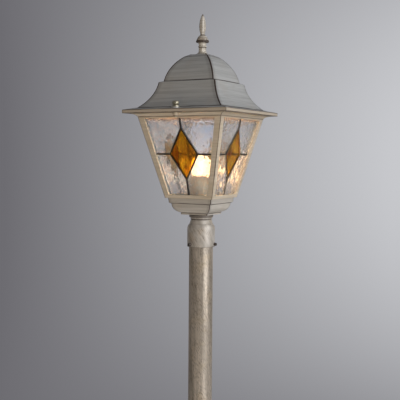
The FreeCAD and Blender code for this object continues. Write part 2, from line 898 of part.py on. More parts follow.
def lampholder_body():
    """Porcelain cylinder: the bulb's socket above, a recess for the wires below."""
    top = holder_z + holder_height
    bend = holder_rim_round * (1 - math.sqrt(0.5))
    rivet_hole = contact_rivet_radius + hole_clearance
    recess_top = holder_z + holder_recess_height
    outline = [
        (holder_recess_radius, holder_z), (holder_radius, holder_z), (holder_radius, top - holder_rim_round),
        ((holder_radius - bend, top - bend), (holder_radius - holder_rim_round, top)),
        (socket_radius, top), (socket_radius, socket_floor_z), (rivet_hole, socket_floor_z),
        (rivet_hole, recess_top), (holder_recess_radius, recess_top),
    ]
    hole = rod(small_thread, holder_z, holder_z + holder_screw_bite, holder_screw_at)
    return turned(outline).cut(around(hole, 2))


def lampholder_shell():
    """Metal liner that takes the bulb's cap."""
    outer = socket_radius - shell_gap
    return ring(outer, outer - shell_wall, socket_floor_z, socket_floor_z + shell_height)


def lampholder_contact():
    """Middle contact on the socket's floor, riveted through to the wires."""
    rivet_end = holder_z + holder_recess_height - contact_thickness
    top = socket_floor_z + contact_thickness
    outline = [
        (0, rivet_end), (contact_rivet_radius, rivet_end), (contact_rivet_radius, socket_floor_z),
        (contact_radius, socket_floor_z), (contact_radius, top), (0, top),
    ]
    return turned(outline)


def bulb_levels():
    """The bulb's tip, insulator, cap and glass, from the contact upwards."""
    tip = socket_floor_z + contact_thickness + bulb_seat_gap
    insulator = tip + tip_height
    cap = insulator + insulator_height
    return tip, insulator, cap, cap + cap_height


def bulb_contact():
    """Tip of the bulb's cap."""
    tip, insulator, cap, cap_top = bulb_levels()
    crown = tip_height / 2
    outline = [(0, tip), (tip_radius - crown, tip), (tip_radius, tip + crown),
               (tip_radius, insulator), (0, insulator)]
    return turned(outline)


def bulb_insulator():
    """Black glass cone between the tip and the cap."""
    tip, insulator, cap, cap_top = bulb_levels()
    return turned([(0, insulator), (tip_radius, insulator), (insulator_radius, cap), (0, cap)])


def bulb_cap():
    """Screw cap, a cup open upwards."""
    tip, insulator, cap, cap_top = bulb_levels()
    bore = cap_radius - cap_wall
    shoulder = cap + cap_radius - insulator_radius
    outline = [
        (0, cap), (insulator_radius, cap), (cap_radius, shoulder), (cap_radius, cap_top),
        (bore, cap_top), (bore, shoulder + cap_wall),
        (insulator_radius - cap_wall, cap + cap_wall), (0, cap + cap_wall),
    ]
    return turned(outline)


def bulb_globe():
    """Hollow round glass with a flared neck that is cemented in the cap."""
    tip, insulator, cap, cap_top = bulb_levels()
    foot = cap_top - globe_tuck
    flare_z = cap_top + globe_neck_height
    inner = globe_radius - globe_wall
    centre = flare_z + math.sqrt(globe_radius ** 2 - globe_neck_flare ** 2)
    inner_flare = globe_neck_flare - globe_wall
    inner_flare_z = centre - math.sqrt(inner ** 2 - inner_flare ** 2)
    neck = globe_neck_radius - globe_wall
    outline = [
        (neck, foot), (globe_neck_radius, foot), (globe_neck_radius, cap_top), (globe_neck_flare, flare_z),
        ((globe_radius, centre), (0, centre + globe_radius)),
        (0, centre + inner),
        ((inner, centre), (inner_flare, inner_flare_z)), (neck, cap_top),
    ]
    return turned(outline)


def roof_outline(inset, bottom, eaves):
    """Skirt, ledge, dome and cap, moved in and down by an inset, above the given lower steps."""
    skirt_foot = (skirt_foot_half - inset, skirt_z - inset)
    skirt_head = (skirt_head_half - inset, ledge_z - inset)
    dome_foot = (dome_foot_half - inset, dome_z - inset)
    dome_head = (dome_head_half - inset, dome_top_z - inset)
    return [(0, bottom)] + eaves + [
        skirt_foot, (bowed_arc(skirt_foot, skirt_head, skirt_bow), skirt_head),
        dome_foot, (bowed_arc(dome_foot, dome_head, -dome_bow), dome_head),
        (cap_top_half - inset, roof_top_z - inset), (0, roof_top_z - inset),
    ]


def roof():
    """Hollow casting that rests on the cage's cornice, with a pad on the brim for each thumb screw."""
    outer = mitred(roof_outline(0, cage_top_z, [(brim_half, cage_top_z), (brim_half, brim_top_z)]))
    inner = mitred(roof_outline(roof_wall, cage_top_z, [(skirt_foot_half - roof_wall, cage_top_z)]))
    pad = rod(pad_radius, cage_top_z, brim_top_z + pad_rise, 0, -thumb_at)
    hole = rod(thumb_hole, cage_top_z, brim_top_z + pad_rise, 0, -thumb_at)
    spot_face = rod(pad_radius, brim_top_z + pad_rise, skirt_z + pad_rise, 0, -thumb_at)
    stud_hole = rod(stud_radius + hole_clearance, roof_top_z - 2 * roof_wall, roof_top_z)
    cuts = [inner, stud_hole] + around(hole, 2) + around(spot_face, 2)
    return outer.fuse(around(pad, 2)).cut(cuts).removeSplitter()


def thumb_washer():
    """Washer on the brim's front pad."""
    low = brim_top_z + pad_rise
    high = low + thumb_washer_thickness
    return ring(thumb_washer_radius, thumb_hole, low, high, 0, -thumb_at)


def thumb_screw():
    """Thumb screw at the front: flange, waist and ball head over a plain shank."""
    seat = brim_top_z + pad_rise + thumb_washer_thickness
    waist = seat + thumb_flange_height
    ball = waist + thumb_waist_height
    crown = ball + thumb_ball_height
    tip = cage_top_z - lug_height - thumb_tip_spare
    outline = [
        (0, tip), (thumb_shank_radius, tip), (thumb_shank_radius, seat), (thumb_flange_radius, seat),
        (thumb_flange_radius, waist), (thumb_waist_radius, waist), (thumb_waist_radius, ball),
        ((thumb_ball_radius, ball + thumb_ball_height / 2), (thumb_crown_radius, crown)), (0, crown),
    ]
    return turned(outline).translated(Vector(0, -thumb_at, 0))


def finial():
    """Cast spike: flared foot, faceted column, ring, bell collar and faceted spear, with a stud below."""
    column_z = roof_top_z + finial_foot_height
    ring_z = column_z + column_height
    neck_foot = (finial_neck_radius, ring_z + finial_ring_height)
    neck_head = (finial_neck_flare, neck_foot[1] + finial_neck_height)
    bell = neck_head[1]
    bell_edge = bell + bell_collar_edge
    bell_top = bell + bell_collar_height
    rim = bell_collar_radius - bell_collar_round
    stud_end = roof_top_z - roof_wall - stud_washer_thickness - stud_nut_height - stud_spare
    foot_edge = (finial_foot_radius, roof_top_z)
    foot_head = (column_half / math.cos(math.pi / finial_sides), column_z)
    foot = turned([
        (0, stud_end), (stud_radius, stud_end), (stud_radius, roof_top_z), foot_edge,
        (bowed_arc(foot_edge, foot_head, finial_foot_bow), foot_head), (0, column_z),
    ])
    column_side = [(0, column_z), (column_half, column_z), (column_half, ring_z), (0, ring_z)]
    column = mitred(column_side, finial_sides)
    collar_foot = (rim, bell_edge)
    collar_head = (bell_collar_top, bell_top)
    collar = turned([
        (0, ring_z), (finial_neck_radius, ring_z),
        ((finial_ring_radius, ring_z + finial_ring_height / 2), neck_foot),
        (upright_arc(neck_foot, neck_head), neck_head), (rim, bell),
        ((bell_collar_radius, bell + bell_collar_edge / 2), collar_foot),
        (bowed_arc(collar_foot, collar_head, -bell_collar_bow), collar_head), (0, bell_top),
    ])
    spear_foot = (throat_half, bell_top + throat_height)
    belly = (spear_belly_half, spear_foot[1] + spear_belly_rise)
    tip = (spear_tip_half, belly[1] + spear_tip_rise)
    spear = mitred([
        (0, bell_top), (throat_half, bell_top), spear_foot,
        (upright_arc(belly, spear_foot), belly), (upright_arc(belly, tip), tip), (0, tip[1]),
    ], finial_sides)
    return foot.fuse([column, collar, spear]).removeSplitter()


def finial_washer():
    """Washer under the roof's top."""
    high = roof_top_z - roof_wall
    return ring(stud_washer_radius, stud_radius + hole_clearance, high - stud_washer_thickness, high)


def finial_nut():
    """Nut on the finial's stud."""
    high = roof_top_z - roof_wall - stud_washer_thickness
    return nut(stud_nut_across_flats, stud_radius + thread_clearance, high - stud_nut_height, high)


save("base_flange", base_flange())
save("base_grub_screws", base_grub_screws())
save("post_tube", post_tube())
save("terminal_block", terminal_block())
save("terminal_bracket", terminal_bracket())
save("terminal_screws", terminal_screws())
save("earth_screw", earth_screw())
save("post_fitter", post_fitter())
for number in range(clamp_count):
    save(f"clamp_screw_{number + 1}", clamp_screw(number))
save("neck_gasket", neck_gasket())
save("threaded_nipple", threaded_nipple())
save("nipple_nuts", nipple_nuts())
save("nipple_washers", nipple_washers())
save("supply_lead", supply_lead())
save("lantern_pan", lantern_pan())
save("lantern_cage", lantern_cage())
save("cage_screws", cage_screws())
save("corner_beads", around(corner_bead(), 4))
save("bead_screws", around(bead_screw(bead_screw_radius, bead_screw_head), 4))
clear_glass, amber_glass = panel_glass()
lead = lead_came()
border = zinc_border()
for number, side in enumerate(face_names):
    save(f"clear_panes_{side}", [on_face(piece, number) for piece in clear_glass])
    save(f"amber_lozenge_{side}", on_face(amber_glass, number))
    save(f"lead_came_{side}", on_face(lead, number))
    save(f"zinc_border_{side}", on_face(border, number))
save("lampholder_bracket", lampholder_bracket())
save("lampholder_screws", lampholder_screws())
save("lampholder_body", lampholder_body())
save("lampholder_shell", lampholder_shell())
save("lampholder_contact", lampholder_contact())
save("bulb_contact", bulb_contact())
save("bulb_insulator", bulb_insulator())
save("bulb_cap", bulb_cap())
save("bulb_globe", bulb_globe())
save("roof", roof())
save("thumb_washers", around(thumb_washer(), 2))
save("thumb_screw_front", thumb_screw())
save("thumb_screw_rear", turn(thumb_screw(), 180))
save("finial", finial())
save("finial_washer", finial_washer())
save("finial_nut", finial_nut())
print("overall height", round(finial().BoundBox.ZMax, 1), "brim top", round(brim_top_z, 1))
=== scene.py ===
import json
import math

import bmesh
import bpy
from mathutils import Euler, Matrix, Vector, noise


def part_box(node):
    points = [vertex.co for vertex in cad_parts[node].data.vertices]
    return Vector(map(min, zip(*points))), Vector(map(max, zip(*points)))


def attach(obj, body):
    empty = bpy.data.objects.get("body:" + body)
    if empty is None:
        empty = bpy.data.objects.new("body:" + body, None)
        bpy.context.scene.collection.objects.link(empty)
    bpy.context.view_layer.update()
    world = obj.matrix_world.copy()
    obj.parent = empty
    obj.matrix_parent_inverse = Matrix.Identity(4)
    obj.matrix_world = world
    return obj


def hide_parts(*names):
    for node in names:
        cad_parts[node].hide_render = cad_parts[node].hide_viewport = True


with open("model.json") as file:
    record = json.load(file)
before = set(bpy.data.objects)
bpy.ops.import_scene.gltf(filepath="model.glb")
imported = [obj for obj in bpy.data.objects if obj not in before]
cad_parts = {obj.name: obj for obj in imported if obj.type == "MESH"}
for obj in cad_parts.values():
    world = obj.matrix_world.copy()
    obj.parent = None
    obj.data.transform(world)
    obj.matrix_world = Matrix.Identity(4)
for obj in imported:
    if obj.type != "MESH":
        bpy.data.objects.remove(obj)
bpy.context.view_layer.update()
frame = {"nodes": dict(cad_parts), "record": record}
nodes = frame["nodes"]
sides = ("front", "right", "rear", "left")
bodyOf = {node: body for body, names in frame["record"]["behaviour"]["bodies"].items() for node in names}
shown = dict(nodes)  # what stands for each node: its CAD object, or the piece that replaces it
soft = {"interpolation_type": "SMOOTHSTEP"}  # for a Map Range that lets one thing fade into another
print("frame loaded,", len(nodes), "nodes")


def linear(hexColour):  # sRGB hex to linear RGBA
    parts = [int(hexColour[i:i + 2], 16) / 255 for i in (1, 3, 5)]
    return [c / 12.92 if c <= 0.04045 else ((c + 0.055) / 1.055) ** 2.4 for c in parts] + [1.0]


def perMetre(millimetres):  # a pattern's scale from the size of one feature
    return 1000.0 / millimetres


def addNode(tree, kind, settings=None, links=None):
    # a key is a socket's name or place, or else a property; a Mix node's places 6 and 7 take its two colours
    node = tree.nodes.new(kind)
    for key, value in (settings or {}).items():
        if isinstance(key, int) or key in node.inputs:
            node.inputs[key].default_value = value
        else:
            setattr(node, key, value)
    for key, socket in (links or {}).items():
        tree.links.new(socket, node.inputs[key])
    return node


def startMaterial(name, settings):
    material = bpy.data.materials.new(name)
    material.use_nodes = True
    tree = material.node_tree
    tree.nodes.clear()
    shader = addNode(tree, "ShaderNodeBsdfPrincipled", settings)
    output = addNode(tree, "ShaderNodeOutputMaterial", links={"Surface": shader.outputs[0]})
    place = addNode(tree, "ShaderNodeTexCoord").outputs["Object"]
    return material, tree, shader, output, place


def dress(names, material):
    for name in names:
        mesh = shown[name].data
        mesh.materials.clear()
        mesh.materials.append(material)


# Camera, at the photograph's angle
camera = {"distance": 1.2242, "height": 0.9717, "azimuth": 29.441, "pitch": -3.634, "roll": 0.42,
          "lens": 66.50, "sensor": 36, "shiftX": -0.0034, "clipStart": 0.01}


def makeCamera(view):
    turn = math.radians(view["azimuth"])
    data = bpy.data.cameras.new("studioCamera")
    data.lens = view["lens"]
    data.sensor_width = view["sensor"]
    data.shift_x = view["shiftX"]
    data.clip_start = view["clipStart"]
    item = bpy.data.objects.new("studioCamera", data)
    item.location = (view["distance"] * math.sin(turn), -view["distance"] * math.cos(turn), view["height"])
    level = Euler((math.radians(90 + view["pitch"]), 0, turn), "XYZ").to_matrix()
    roll = Euler((0, 0, math.radians(view["roll"])), "XYZ").to_matrix()
    item.rotation_euler = (level @ roll).to_euler()
    bpy.context.scene.collection.objects.link(item)
    bpy.context.scene.camera = item


makeCamera(camera)
bpy.context.scene.view_settings.view_transform = "Standard"
print("camera set")

# Studio: a pale floor that fades out, a backdrop that is lighter to the right, and soft lamps
studio = {
    "floor": "#dcdcdc", "floorRough": 0.9, "floorRadius": 1.3, "floorSegments": 96, "floorDrop": 0.0003,
    "fadeFrom": 0.7,
    "paperLeft": "#6d6c71", "paperRight": "#c7c8cc", "paperSpread": (-0.257, 0.25), "paperAhead": (0.1, 0.6),
    "paperEnd": (0.55, 0.95), "paperFade": 0.406,
    "room": "#58585a", "roomSeen": "#939397",
    "ambient": "#dcdee2", "ambientStrength": 0.175, "ceilingStrength": 0.05, "aim": 0.95,
    "lamps": [
        {"name": "keyLamp", "azimuth": 77, "height": 1.3, "away": 1.7, "size": (1.1, 2.3), "watts": 28,
         "colour": "#f8faff", "mirrored": True},
        {"name": "lowFill", "azimuth": 22, "height": 0.6, "away": 1.7, "size": (1.3, 1.0), "watts": 10.5,
         "colour": "#ffeedb", "mirrored": False},
        {"name": "topLamp", "azimuth": 110, "height": 2.3, "away": 1.9, "size": (1.0, 1.0), "watts": 7,
         "colour": "#ffffff", "mirrored": True},
        {"name": "backLamp", "azimuth": 190, "height": 1.5, "away": 2.2, "size": (1.4, 1.4), "watts": 24,
         "colour": "#ffffff", "mirrored": False},
        {"name": "leftLamp", "azimuth": 242, "height": 1.2, "away": 2.0, "size": (1.1, 1.6), "watts": 12,
         "colour": "#ffffff", "mirrored": False},
    ],
}


def makeFloor(setup):
    shape = bmesh.new()
    bmesh.ops.create_circle(shape, cap_ends=True, segments=setup["floorSegments"],
                            radius=setup["floorRadius"])
    bmesh.ops.translate(shape, vec=(0, 0, -setup["floorDrop"]), verts=shape.verts)
    mesh = bpy.data.meshes.new("studioFloor")
    shape.to_mesh(mesh)
    shape.free()
    item = bpy.data.objects.new("studioFloor", mesh)
    bpy.context.scene.collection.objects.link(item)
    # Matt paper: pale and without a shine, clear towards its rim
    material, tree, shader, output, place = startMaterial(
        "matt floor paper", {"Base Color": linear(setup["floor"]), "Roughness": setup["floorRough"]})
    away = addNode(tree, "ShaderNodeVectorMath", {"operation": "LENGTH"}, {0: place})
    fade = addNode(tree, "ShaderNodeMapRange",
                   {**soft, "From Min": setup["fadeFrom"], "From Max": setup["floorRadius"]},
                   {"Value": away.outputs["Value"]})
    clear = addNode(tree, "ShaderNodeBsdfTransparent")
    blend = addNode(tree, "ShaderNodeMixShader",
                    links={0: fade.outputs[0], 1: shader.outputs[0], 2: clear.outputs[0]})
    tree.links.new(blend.outputs[0], output.inputs["Surface"])
    mesh.materials.append(material)


def makeWorld(setup):
    world = bpy.data.worlds.new("studioWorld")
    bpy.context.scene.world = world
    world.use_nodes = True
    tree = world.node_tree
    tree.nodes.clear()
    turn = math.radians(camera["azimuth"])
    ray = addNode(tree, "ShaderNodeTexCoord").outputs["Generated"]
    up = addNode(tree, "ShaderNodeSeparateXYZ", links={0: ray}).outputs["Z"]
    across = addNode(tree, "ShaderNodeVectorMath",
                     {"operation": "DOT_PRODUCT", 1: (math.cos(turn), math.sin(turn), 0)},
                     {0: ray}).outputs["Value"]
    ahead = addNode(tree, "ShaderNodeVectorMath",
                    {"operation": "DOT_PRODUCT", 1: (-math.sin(turn), math.cos(turn), 0)},
                    {0: ray}).outputs["Value"]
    # what lights the object
    dimmer = addNode(tree, "ShaderNodeMapRange",
                     {"To Min": setup["ambientStrength"], "To Max": setup["ceilingStrength"]}, {"Value": up})
    light = addNode(tree, "ShaderNodeBackground", {"Color": linear(setup["ambient"])},
                    {"Strength": dimmer.outputs[0]})
    # the backdrop paper, lighter to the right and at the lantern's height
    square = addNode(tree, "ShaderNodeMath", {"operation": "MULTIPLY"}, {0: up, 1: up}).outputs[0]
    fade = addNode(tree, "ShaderNodeMapRange",
                   {"From Max": setup["paperFade"] ** 2, "To Min": 1.0, "To Max": 0.0}, {"Value": square})
    spread = addNode(tree, "ShaderNodeMapRange",
                     {"From Min": setup["paperSpread"][0], "From Max": setup["paperSpread"][1]},
                     {"Value": across})
    lit = addNode(tree, "ShaderNodeMath", {"operation": "MULTIPLY"},
                  {0: fade.outputs[0], 1: spread.outputs[0]})
    paper = addNode(tree, "ShaderNodeMix",
                    {"data_type": "RGBA", 6: linear(setup["paperLeft"]), 7: linear(setup["paperRight"])},
                    {0: lit.outputs[0]}).outputs[2]
    # the room round it, darker in glass and metal than in the picture
    behind = addNode(tree, "ShaderNodeMapRange",
                     {"From Min": setup["paperAhead"][0], "From Max": setup["paperAhead"][1]},
                     {"Value": ahead}).outputs[0]
    beside = addNode(tree, "ShaderNodeMapRange",
                     {"From Min": setup["paperEnd"][0], "From Max": setup["paperEnd"][1],
                      "To Min": 1.0, "To Max": 0.0}, {"Value": across}).outputs[0]
    onPaper = addNode(tree, "ShaderNodeMath", {"operation": "MULTIPLY"}, {0: behind, 1: beside}).outputs[0]
    path = addNode(tree, "ShaderNodeLightPath")
    room = addNode(tree, "ShaderNodeMix",
                   {"data_type": "RGBA", 6: linear(setup["room"]), 7: linear(setup["roomSeen"])},
                   {0: path.outputs["Is Camera Ray"]}).outputs[2]
    view = addNode(tree, "ShaderNodeMix", {"data_type": "RGBA"}, {0: onPaper, 6: room, 7: paper}).outputs[2]
    seen = addNode(tree, "ShaderNodeBackground", links={"Color": view})
    either = addNode(tree, "ShaderNodeMath", {"operation": "MAXIMUM"},
                     {0: path.outputs["Is Camera Ray"], 1: path.outputs["Is Glossy Ray"]})
    shows = addNode(tree, "ShaderNodeMath", {"operation": "MAXIMUM"},
                    {0: either.outputs[0], 1: path.outputs["Is Transmission Ray"]})
    blend = addNode(tree, "ShaderNodeMixShader",
                    links={0: shows.outputs[0], 1: light.outputs[0], 2: seen.outputs[0]})
    addNode(tree, "ShaderNodeOutputWorld", links={"Surface": blend.outputs[0]})


def makeLamps(setup):
    for lamp in setup["lamps"]:
        turn = math.radians(lamp["azimuth"])
        data = bpy.data.lights.new(lamp["name"], "AREA")
        data.shape = "RECTANGLE"
        data.size, data.size_y = lamp["size"]
        data.energy = lamp["watts"]
        data.color = linear(lamp["colour"])[:3]
        item = bpy.data.objects.new(lamp["name"], data)
        item.location = (lamp["away"] * math.sin(turn), -lamp["away"] * math.cos(turn), lamp["height"])
        aim = Vector((0, 0, setup["aim"])) - item.location
        item.rotation_euler = aim.to_track_quat("-Z", "Y").to_euler()
        item.visible_transmission = False  # the panes show the backdrop, not the lamps behind it
        item.visible_glossy = lamp["mirrored"]
        bpy.context.scene.collection.objects.link(item)


makeFloor(studio)
makeWorld(studio)
makeLamps(studio)
print("studio set")

copied = {"merge": 0.000002, "flatWithin": 0.4}  # metres between doubles, degrees between faces taken as one


def copyShape(name):
    shape = bmesh.new()
    shape.from_mesh(nodes[name].data)
    bmesh.ops.remove_doubles(shape, verts=shape.verts, dist=copied["merge"])
    bmesh.ops.dissolve_limit(shape, angle_limit=math.radians(copied["flatWithin"]), verts=shape.verts,
                             edges=shape.edges)
    return shape


def standFor(node, shape, suffix, sharpFrom):
    # the finished shape takes the CAD node's place, body and material slot
    for face in shape.faces:
        face.smooth = True
    for edge in shape.edges:
        edge.smooth = edge.calc_face_angle(math.pi) < math.radians(sharpFrom)
    mesh = bpy.data.meshes.new(f"{node}_{suffix}")
    shape.to_mesh(mesh)
    shape.free()
    mesh.attributes.remove(mesh.attributes["custom_normal"])  # these belonged to the CAD triangles
    item = bpy.data.objects.new(mesh.name, mesh)
    bpy.context.scene.collection.objects.link(item)
    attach(item, bodyOf[node])
    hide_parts(node)
    shown[node] = item


# Panes with real hammered faces: cut into a fine net, then pressed in by dimples
hammer = {"net": 0.0012, "dimple": 0.0042, "ripple": 0.0024, "stretch": 1.6, "depth": 0.00056,
          "fill": 0.9, "rippleShare": 0.35, "faceShift": 0.5, "merge": 0.00002, "sharpFrom": 60}
sideHammer = dict(hammer, depth=0.00084)  # the side panes are from a more deeply rolled sheet
drawn = dict(hammer, net=0.0016, dimple=0.0060, ripple=0.0030, stretch=6.0, depth=0.00035)  # the amber


def dimpleDepth(point, look):
    flow = Vector((point.x, point.y, point.z / look["stretch"]))  # drawn out up the sheet as it was rolled
    nearest = noise.voronoi(flow / look["dimple"])[0][0]
    ripple = noise.noise(flow / look["ripple"])
    return look["depth"] * min(1.0, max(0.0, look["fill"] - nearest + look["rippleShare"] * ripple))


def pressPane(node, look):
    shape = copyShape(node)
    broad = max(shape.faces, key=lambda face: face.calc_area())
    outward = broad.normal.copy()
    middle = sum((vert.co for vert in shape.verts), Vector()) / len(shape.verts)
    level = Vector((0, 0, 1)).cross(outward).normalized()
    for along in (level, outward.cross(level)):
        reach = [(vert.co - middle).dot(along) for vert in shape.verts]
        for step in range(math.ceil(min(reach) / look["net"]), math.floor(max(reach) / look["net"]) + 1):
            bmesh.ops.bisect_plane(shape, geom=shape.verts[:] + shape.edges[:] + shape.faces[:],
                                   dist=look["merge"], plane_co=middle + along * (step * look["net"]),
                                   plane_no=along)
    for vert in shape.verts:
        side = 1 if (vert.co - middle).dot(outward) > 0 else -1
        seed = Vector((0, 0, look["faceShift"] * side))  # the two faces differ
        vert.co -= outward * (side * dimpleDepth(vert.co + seed, look))
    standFor(node, shape, "hammered", look["sharpFrom"])


for side in sides:
    pressPane(f"clear_panes_{side}", sideHammer if side in ("right", "left") else hammer)
    pressPane(f"amber_lozenge_{side}", drawn)
print("panes pressed")

# Lead with slimmer lips than its solid, as narrow as the lines look in the panels
came = {"slimmer": 0.0004, "lipUnder": 0.0008, "sharpFrom": 30,
        "upright": 0.3, "sameWay": 0.999, "opposite": -0.9}  # cosines between the directions of two faces


def slimCame(node, look):
    shape = copyShape(node)
    outward = max(shape.faces, key=lambda face: face.calc_area()).normal.copy()
    lipSides = set()  # the low walls of the lips; those of the heart are higher
    for face in shape.faces:
        reach = [vert.co.dot(outward) for vert in face.verts]
        if abs(face.normal.dot(outward)) < look["upright"] and max(reach) - min(reach) < look["lipUnder"]:
            lipSides.add(face)
    moves = {}
    for vert in shape.verts:
        ways = []
        for face in vert.link_faces:
            if face in lipSides and all(face.normal.dot(way) < look["sameWay"] for way in ways):
                ways.append(face.normal.copy())
        if len(ways) == 1:
            moves[vert] = ways[0]
        elif len(ways) == 2 and ways[0].dot(ways[1]) > look["opposite"]:
            # at a corner both walls stay parallel to where they were
            moves[vert] = (ways[0] + ways[1]) / (1 + ways[0].dot(ways[1]))
    for vert, way in moves.items():
        vert.co -= way * look["slimmer"]
    standFor(node, shape, "slim", look["sharpFrom"])


for side in sides:
    slimCame(f"lead_came_{side}", came)
print("lead slimmed")

# Bulb cap with its rolled thread wound round it; what lies beyond the share wall of its radius is its outside
thread = {"pitch": 0.00363, "depth": 0.0008, "net": 0.00045, "runOut": 0.0025, "wall": 0.999,
          "merge": 0.00001, "sharpFrom": 50}


def rollCap(node, look):
    shape = copyShape(node)
    low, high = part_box(node)
    radius = high.x
    for step in range(1, round((high.z - low.z) / look["net"])):
        bmesh.ops.bisect_plane(shape, geom=shape.verts[:] + shape.edges[:] + shape.faces[:],
                               dist=look["merge"], plane_co=(0, 0, low.z + step * look["net"]),
                               plane_no=(0, 0, 1))
    outside = [vert for vert in shape.verts if vert.co.xy.length > radius * look["wall"]]
    foot = min(vert.co.z for vert in outside)
    for vert in outside:
        turns = (vert.co.z - low.z) / look["pitch"] - math.atan2(vert.co.y, vert.co.x) / math.tau
        fade = min(1.0, (vert.co.z - foot) / look["runOut"], (high.z - vert.co.z) / look["runOut"])
        cut = look["depth"] * fade * (0.5 - 0.5 * math.cos(math.tau * turns))
        vert.co.xy *= (radius - cut) / radius
    standFor(node, shape, "threaded", look["sharpFrom"])


rollCap("bulb_cap", thread)
print("bulb cap rolled")

# Light core inside the frosted bulb, on its stem; heights are above the holder's rim, the names with Up are
# shares of the body's height, and the shoulder is a share of the belly
core = {"stemFoot": -0.004, "stem": 0.0022, "foot": 0.004, "head": 0.0290, "steps": 40, "merge": 0.00001,
        "waist": 0.0050, "waistUp": 0.06, "belly": 0.0058, "bellyUp": (0.35, 0.60), "shoulder": 0.7,
        "shoulderUp": 0.88}


def turnCore(look):
    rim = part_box("lampholder_body")[1].z
    tall = look["head"] - look["foot"]
    outline = [(0, look["stemFoot"]), (look["stem"], look["stemFoot"]), (look["stem"], look["foot"]),
               (look["waist"], look["foot"] + look["waistUp"] * tall)]
    outline += [(look["belly"], look["foot"] + share * tall) for share in look["bellyUp"]]
    outline += [(look["shoulder"] * look["belly"], look["foot"] + look["shoulderUp"] * tall)]
    outline += [(0, look["head"])]
    shape = bmesh.new()
    points = [shape.verts.new((out, 0, rim + up)) for out, up in outline]
    edges = [shape.edges.new(pair) for pair in zip(points, points[1:])]
    bmesh.ops.spin(shape, geom=points + edges, cent=(0, 0, 0), axis=(0, 0, 1), angle=math.tau,
                   steps=look["steps"], use_merge=True)
    bmesh.ops.remove_doubles(shape, verts=shape.verts, dist=look["merge"])
    bmesh.ops.recalc_face_normals(shape, faces=shape.faces)
    for face in shape.faces:
        face.smooth = True
    mesh = bpy.data.meshes.new("bulb_light_core")
    shape.to_mesh(mesh)
    shape.free()
    item = bpy.data.objects.new(mesh.name, mesh)
    bpy.context.scene.collection.objects.link(item)
    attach(item, bodyOf["bulb_globe"])
    shown[mesh.name] = item


turnCore(core)
print("bulb core turned")


# Patterns that several finishes share; each gives one value socket
def brushStreaks(tree, place, long, across, twist):
    # streaks lie level on the faces, or wind round a turned piece by so many degrees per millimetre
    if twist:
        height = addNode(tree, "ShaderNodeSeparateXYZ", links={0: place}).outputs["Z"]
        angle = addNode(tree, "ShaderNodeMath",
                        {"operation": "MULTIPLY", 1: math.radians(twist) * perMetre(1)}, {0: height})
        place = addNode(tree, "ShaderNodeVectorRotate", {"rotation_type": "Z_AXIS"},
                        {"Vector": place, "Angle": angle.outputs[0]}).outputs[0]
        scale = (perMetre(across), perMetre(across), perMetre(long))
    else:
        scale = (perMetre(long), perMetre(long), perMetre(across))
    stretched = addNode(tree, "ShaderNodeMapping", {"Scale": scale}, {"Vector": place})
    return addNode(tree, "ShaderNodeTexNoise", {"Scale": 1.0, "Detail": 4.0, "Roughness": 0.6},
                   {"Vector": stretched.outputs[0]}).outputs[0]


def sideways(tree, place):
    # how much further a point of a square piece lies along X than along Y: nothing on its four hips
    flat = addNode(tree, "ShaderNodeVectorMath", {"operation": "ABSOLUTE"}, {0: place})
    parts = addNode(tree, "ShaderNodeSeparateXYZ", links={0: flat.outputs[0]})
    return addNode(tree, "ShaderNodeMath", {"operation": "SUBTRACT"},
                   {0: parts.outputs["X"], 1: parts.outputs["Y"]}).outputs[0]


# Cast aluminium, enamelled cream and wiped with brown glazing. Pattern sizes are in millimetres, heights and
# reaches on a piece in metres. Lines have a height, a reach to each side and the strength of the brown there,
# which is glazing and also painted shade in the creases, joints and undersides they mark; hips have a reach
# and a strength. Ribs are stripes up a piece, with a count, the height they start from, a reach as a share of
# their spacing and a strength. The brush lines are drawn coarser than real ones, so that they show.
castBase = {
    "cream": "#c6bfb4", "shade": "#b5aea3", "brushEdge": {"From Min": 0.32, "From Max": 0.66},
    "warm": "#bda98f", "warmth": 0.45, "warmEdge": {"From Min": 0.45, "From Max": 0.75},
    "metallic": 0.12, "rough": 0.45, "duller": 0.08, "shinier": 0.05,
    "shineEdge": {"From Min": 0.3, "From Max": 0.7},
    "broadLong": 70.0, "broadAcross": 3.2, "twist": 0.0,
    "fineLong": 45.0, "fineAcross": 0.8, "fineTwist": None,  # without its own, that of the broad streaks
    "cloud": 38.0, "grain": 0.9, "fineRelief": 0.4, "bump": 0.2, "bumpDepth": 0.0002,
    "glazeAndShade": "#3c2c22", "fineGlaze": 0.22, "scuffFrom": 0.30, "scuffTo": 0.48, "patch": (0.40, 0.62),
    "lines": [], "hips": [], "ribs": None, "solid": 0.4,  # the share of a reach that has the full strength
    "wander": {"From Min": 0.3, "From Max": 0.7, "To Min": -0.0003, "To Max": 0.0003},
    "rearHips": {"From Min": 0.0, "From Max": 0.015, "To Min": 1.0, "To Max": 0.45},  # wiped cleaner
    "foot": None, "footColour": "#cbb99f", "footShare": 0.75, "footHips": 0.3, "footFade": 0.0004,
    "ribFade": 0.002,
}


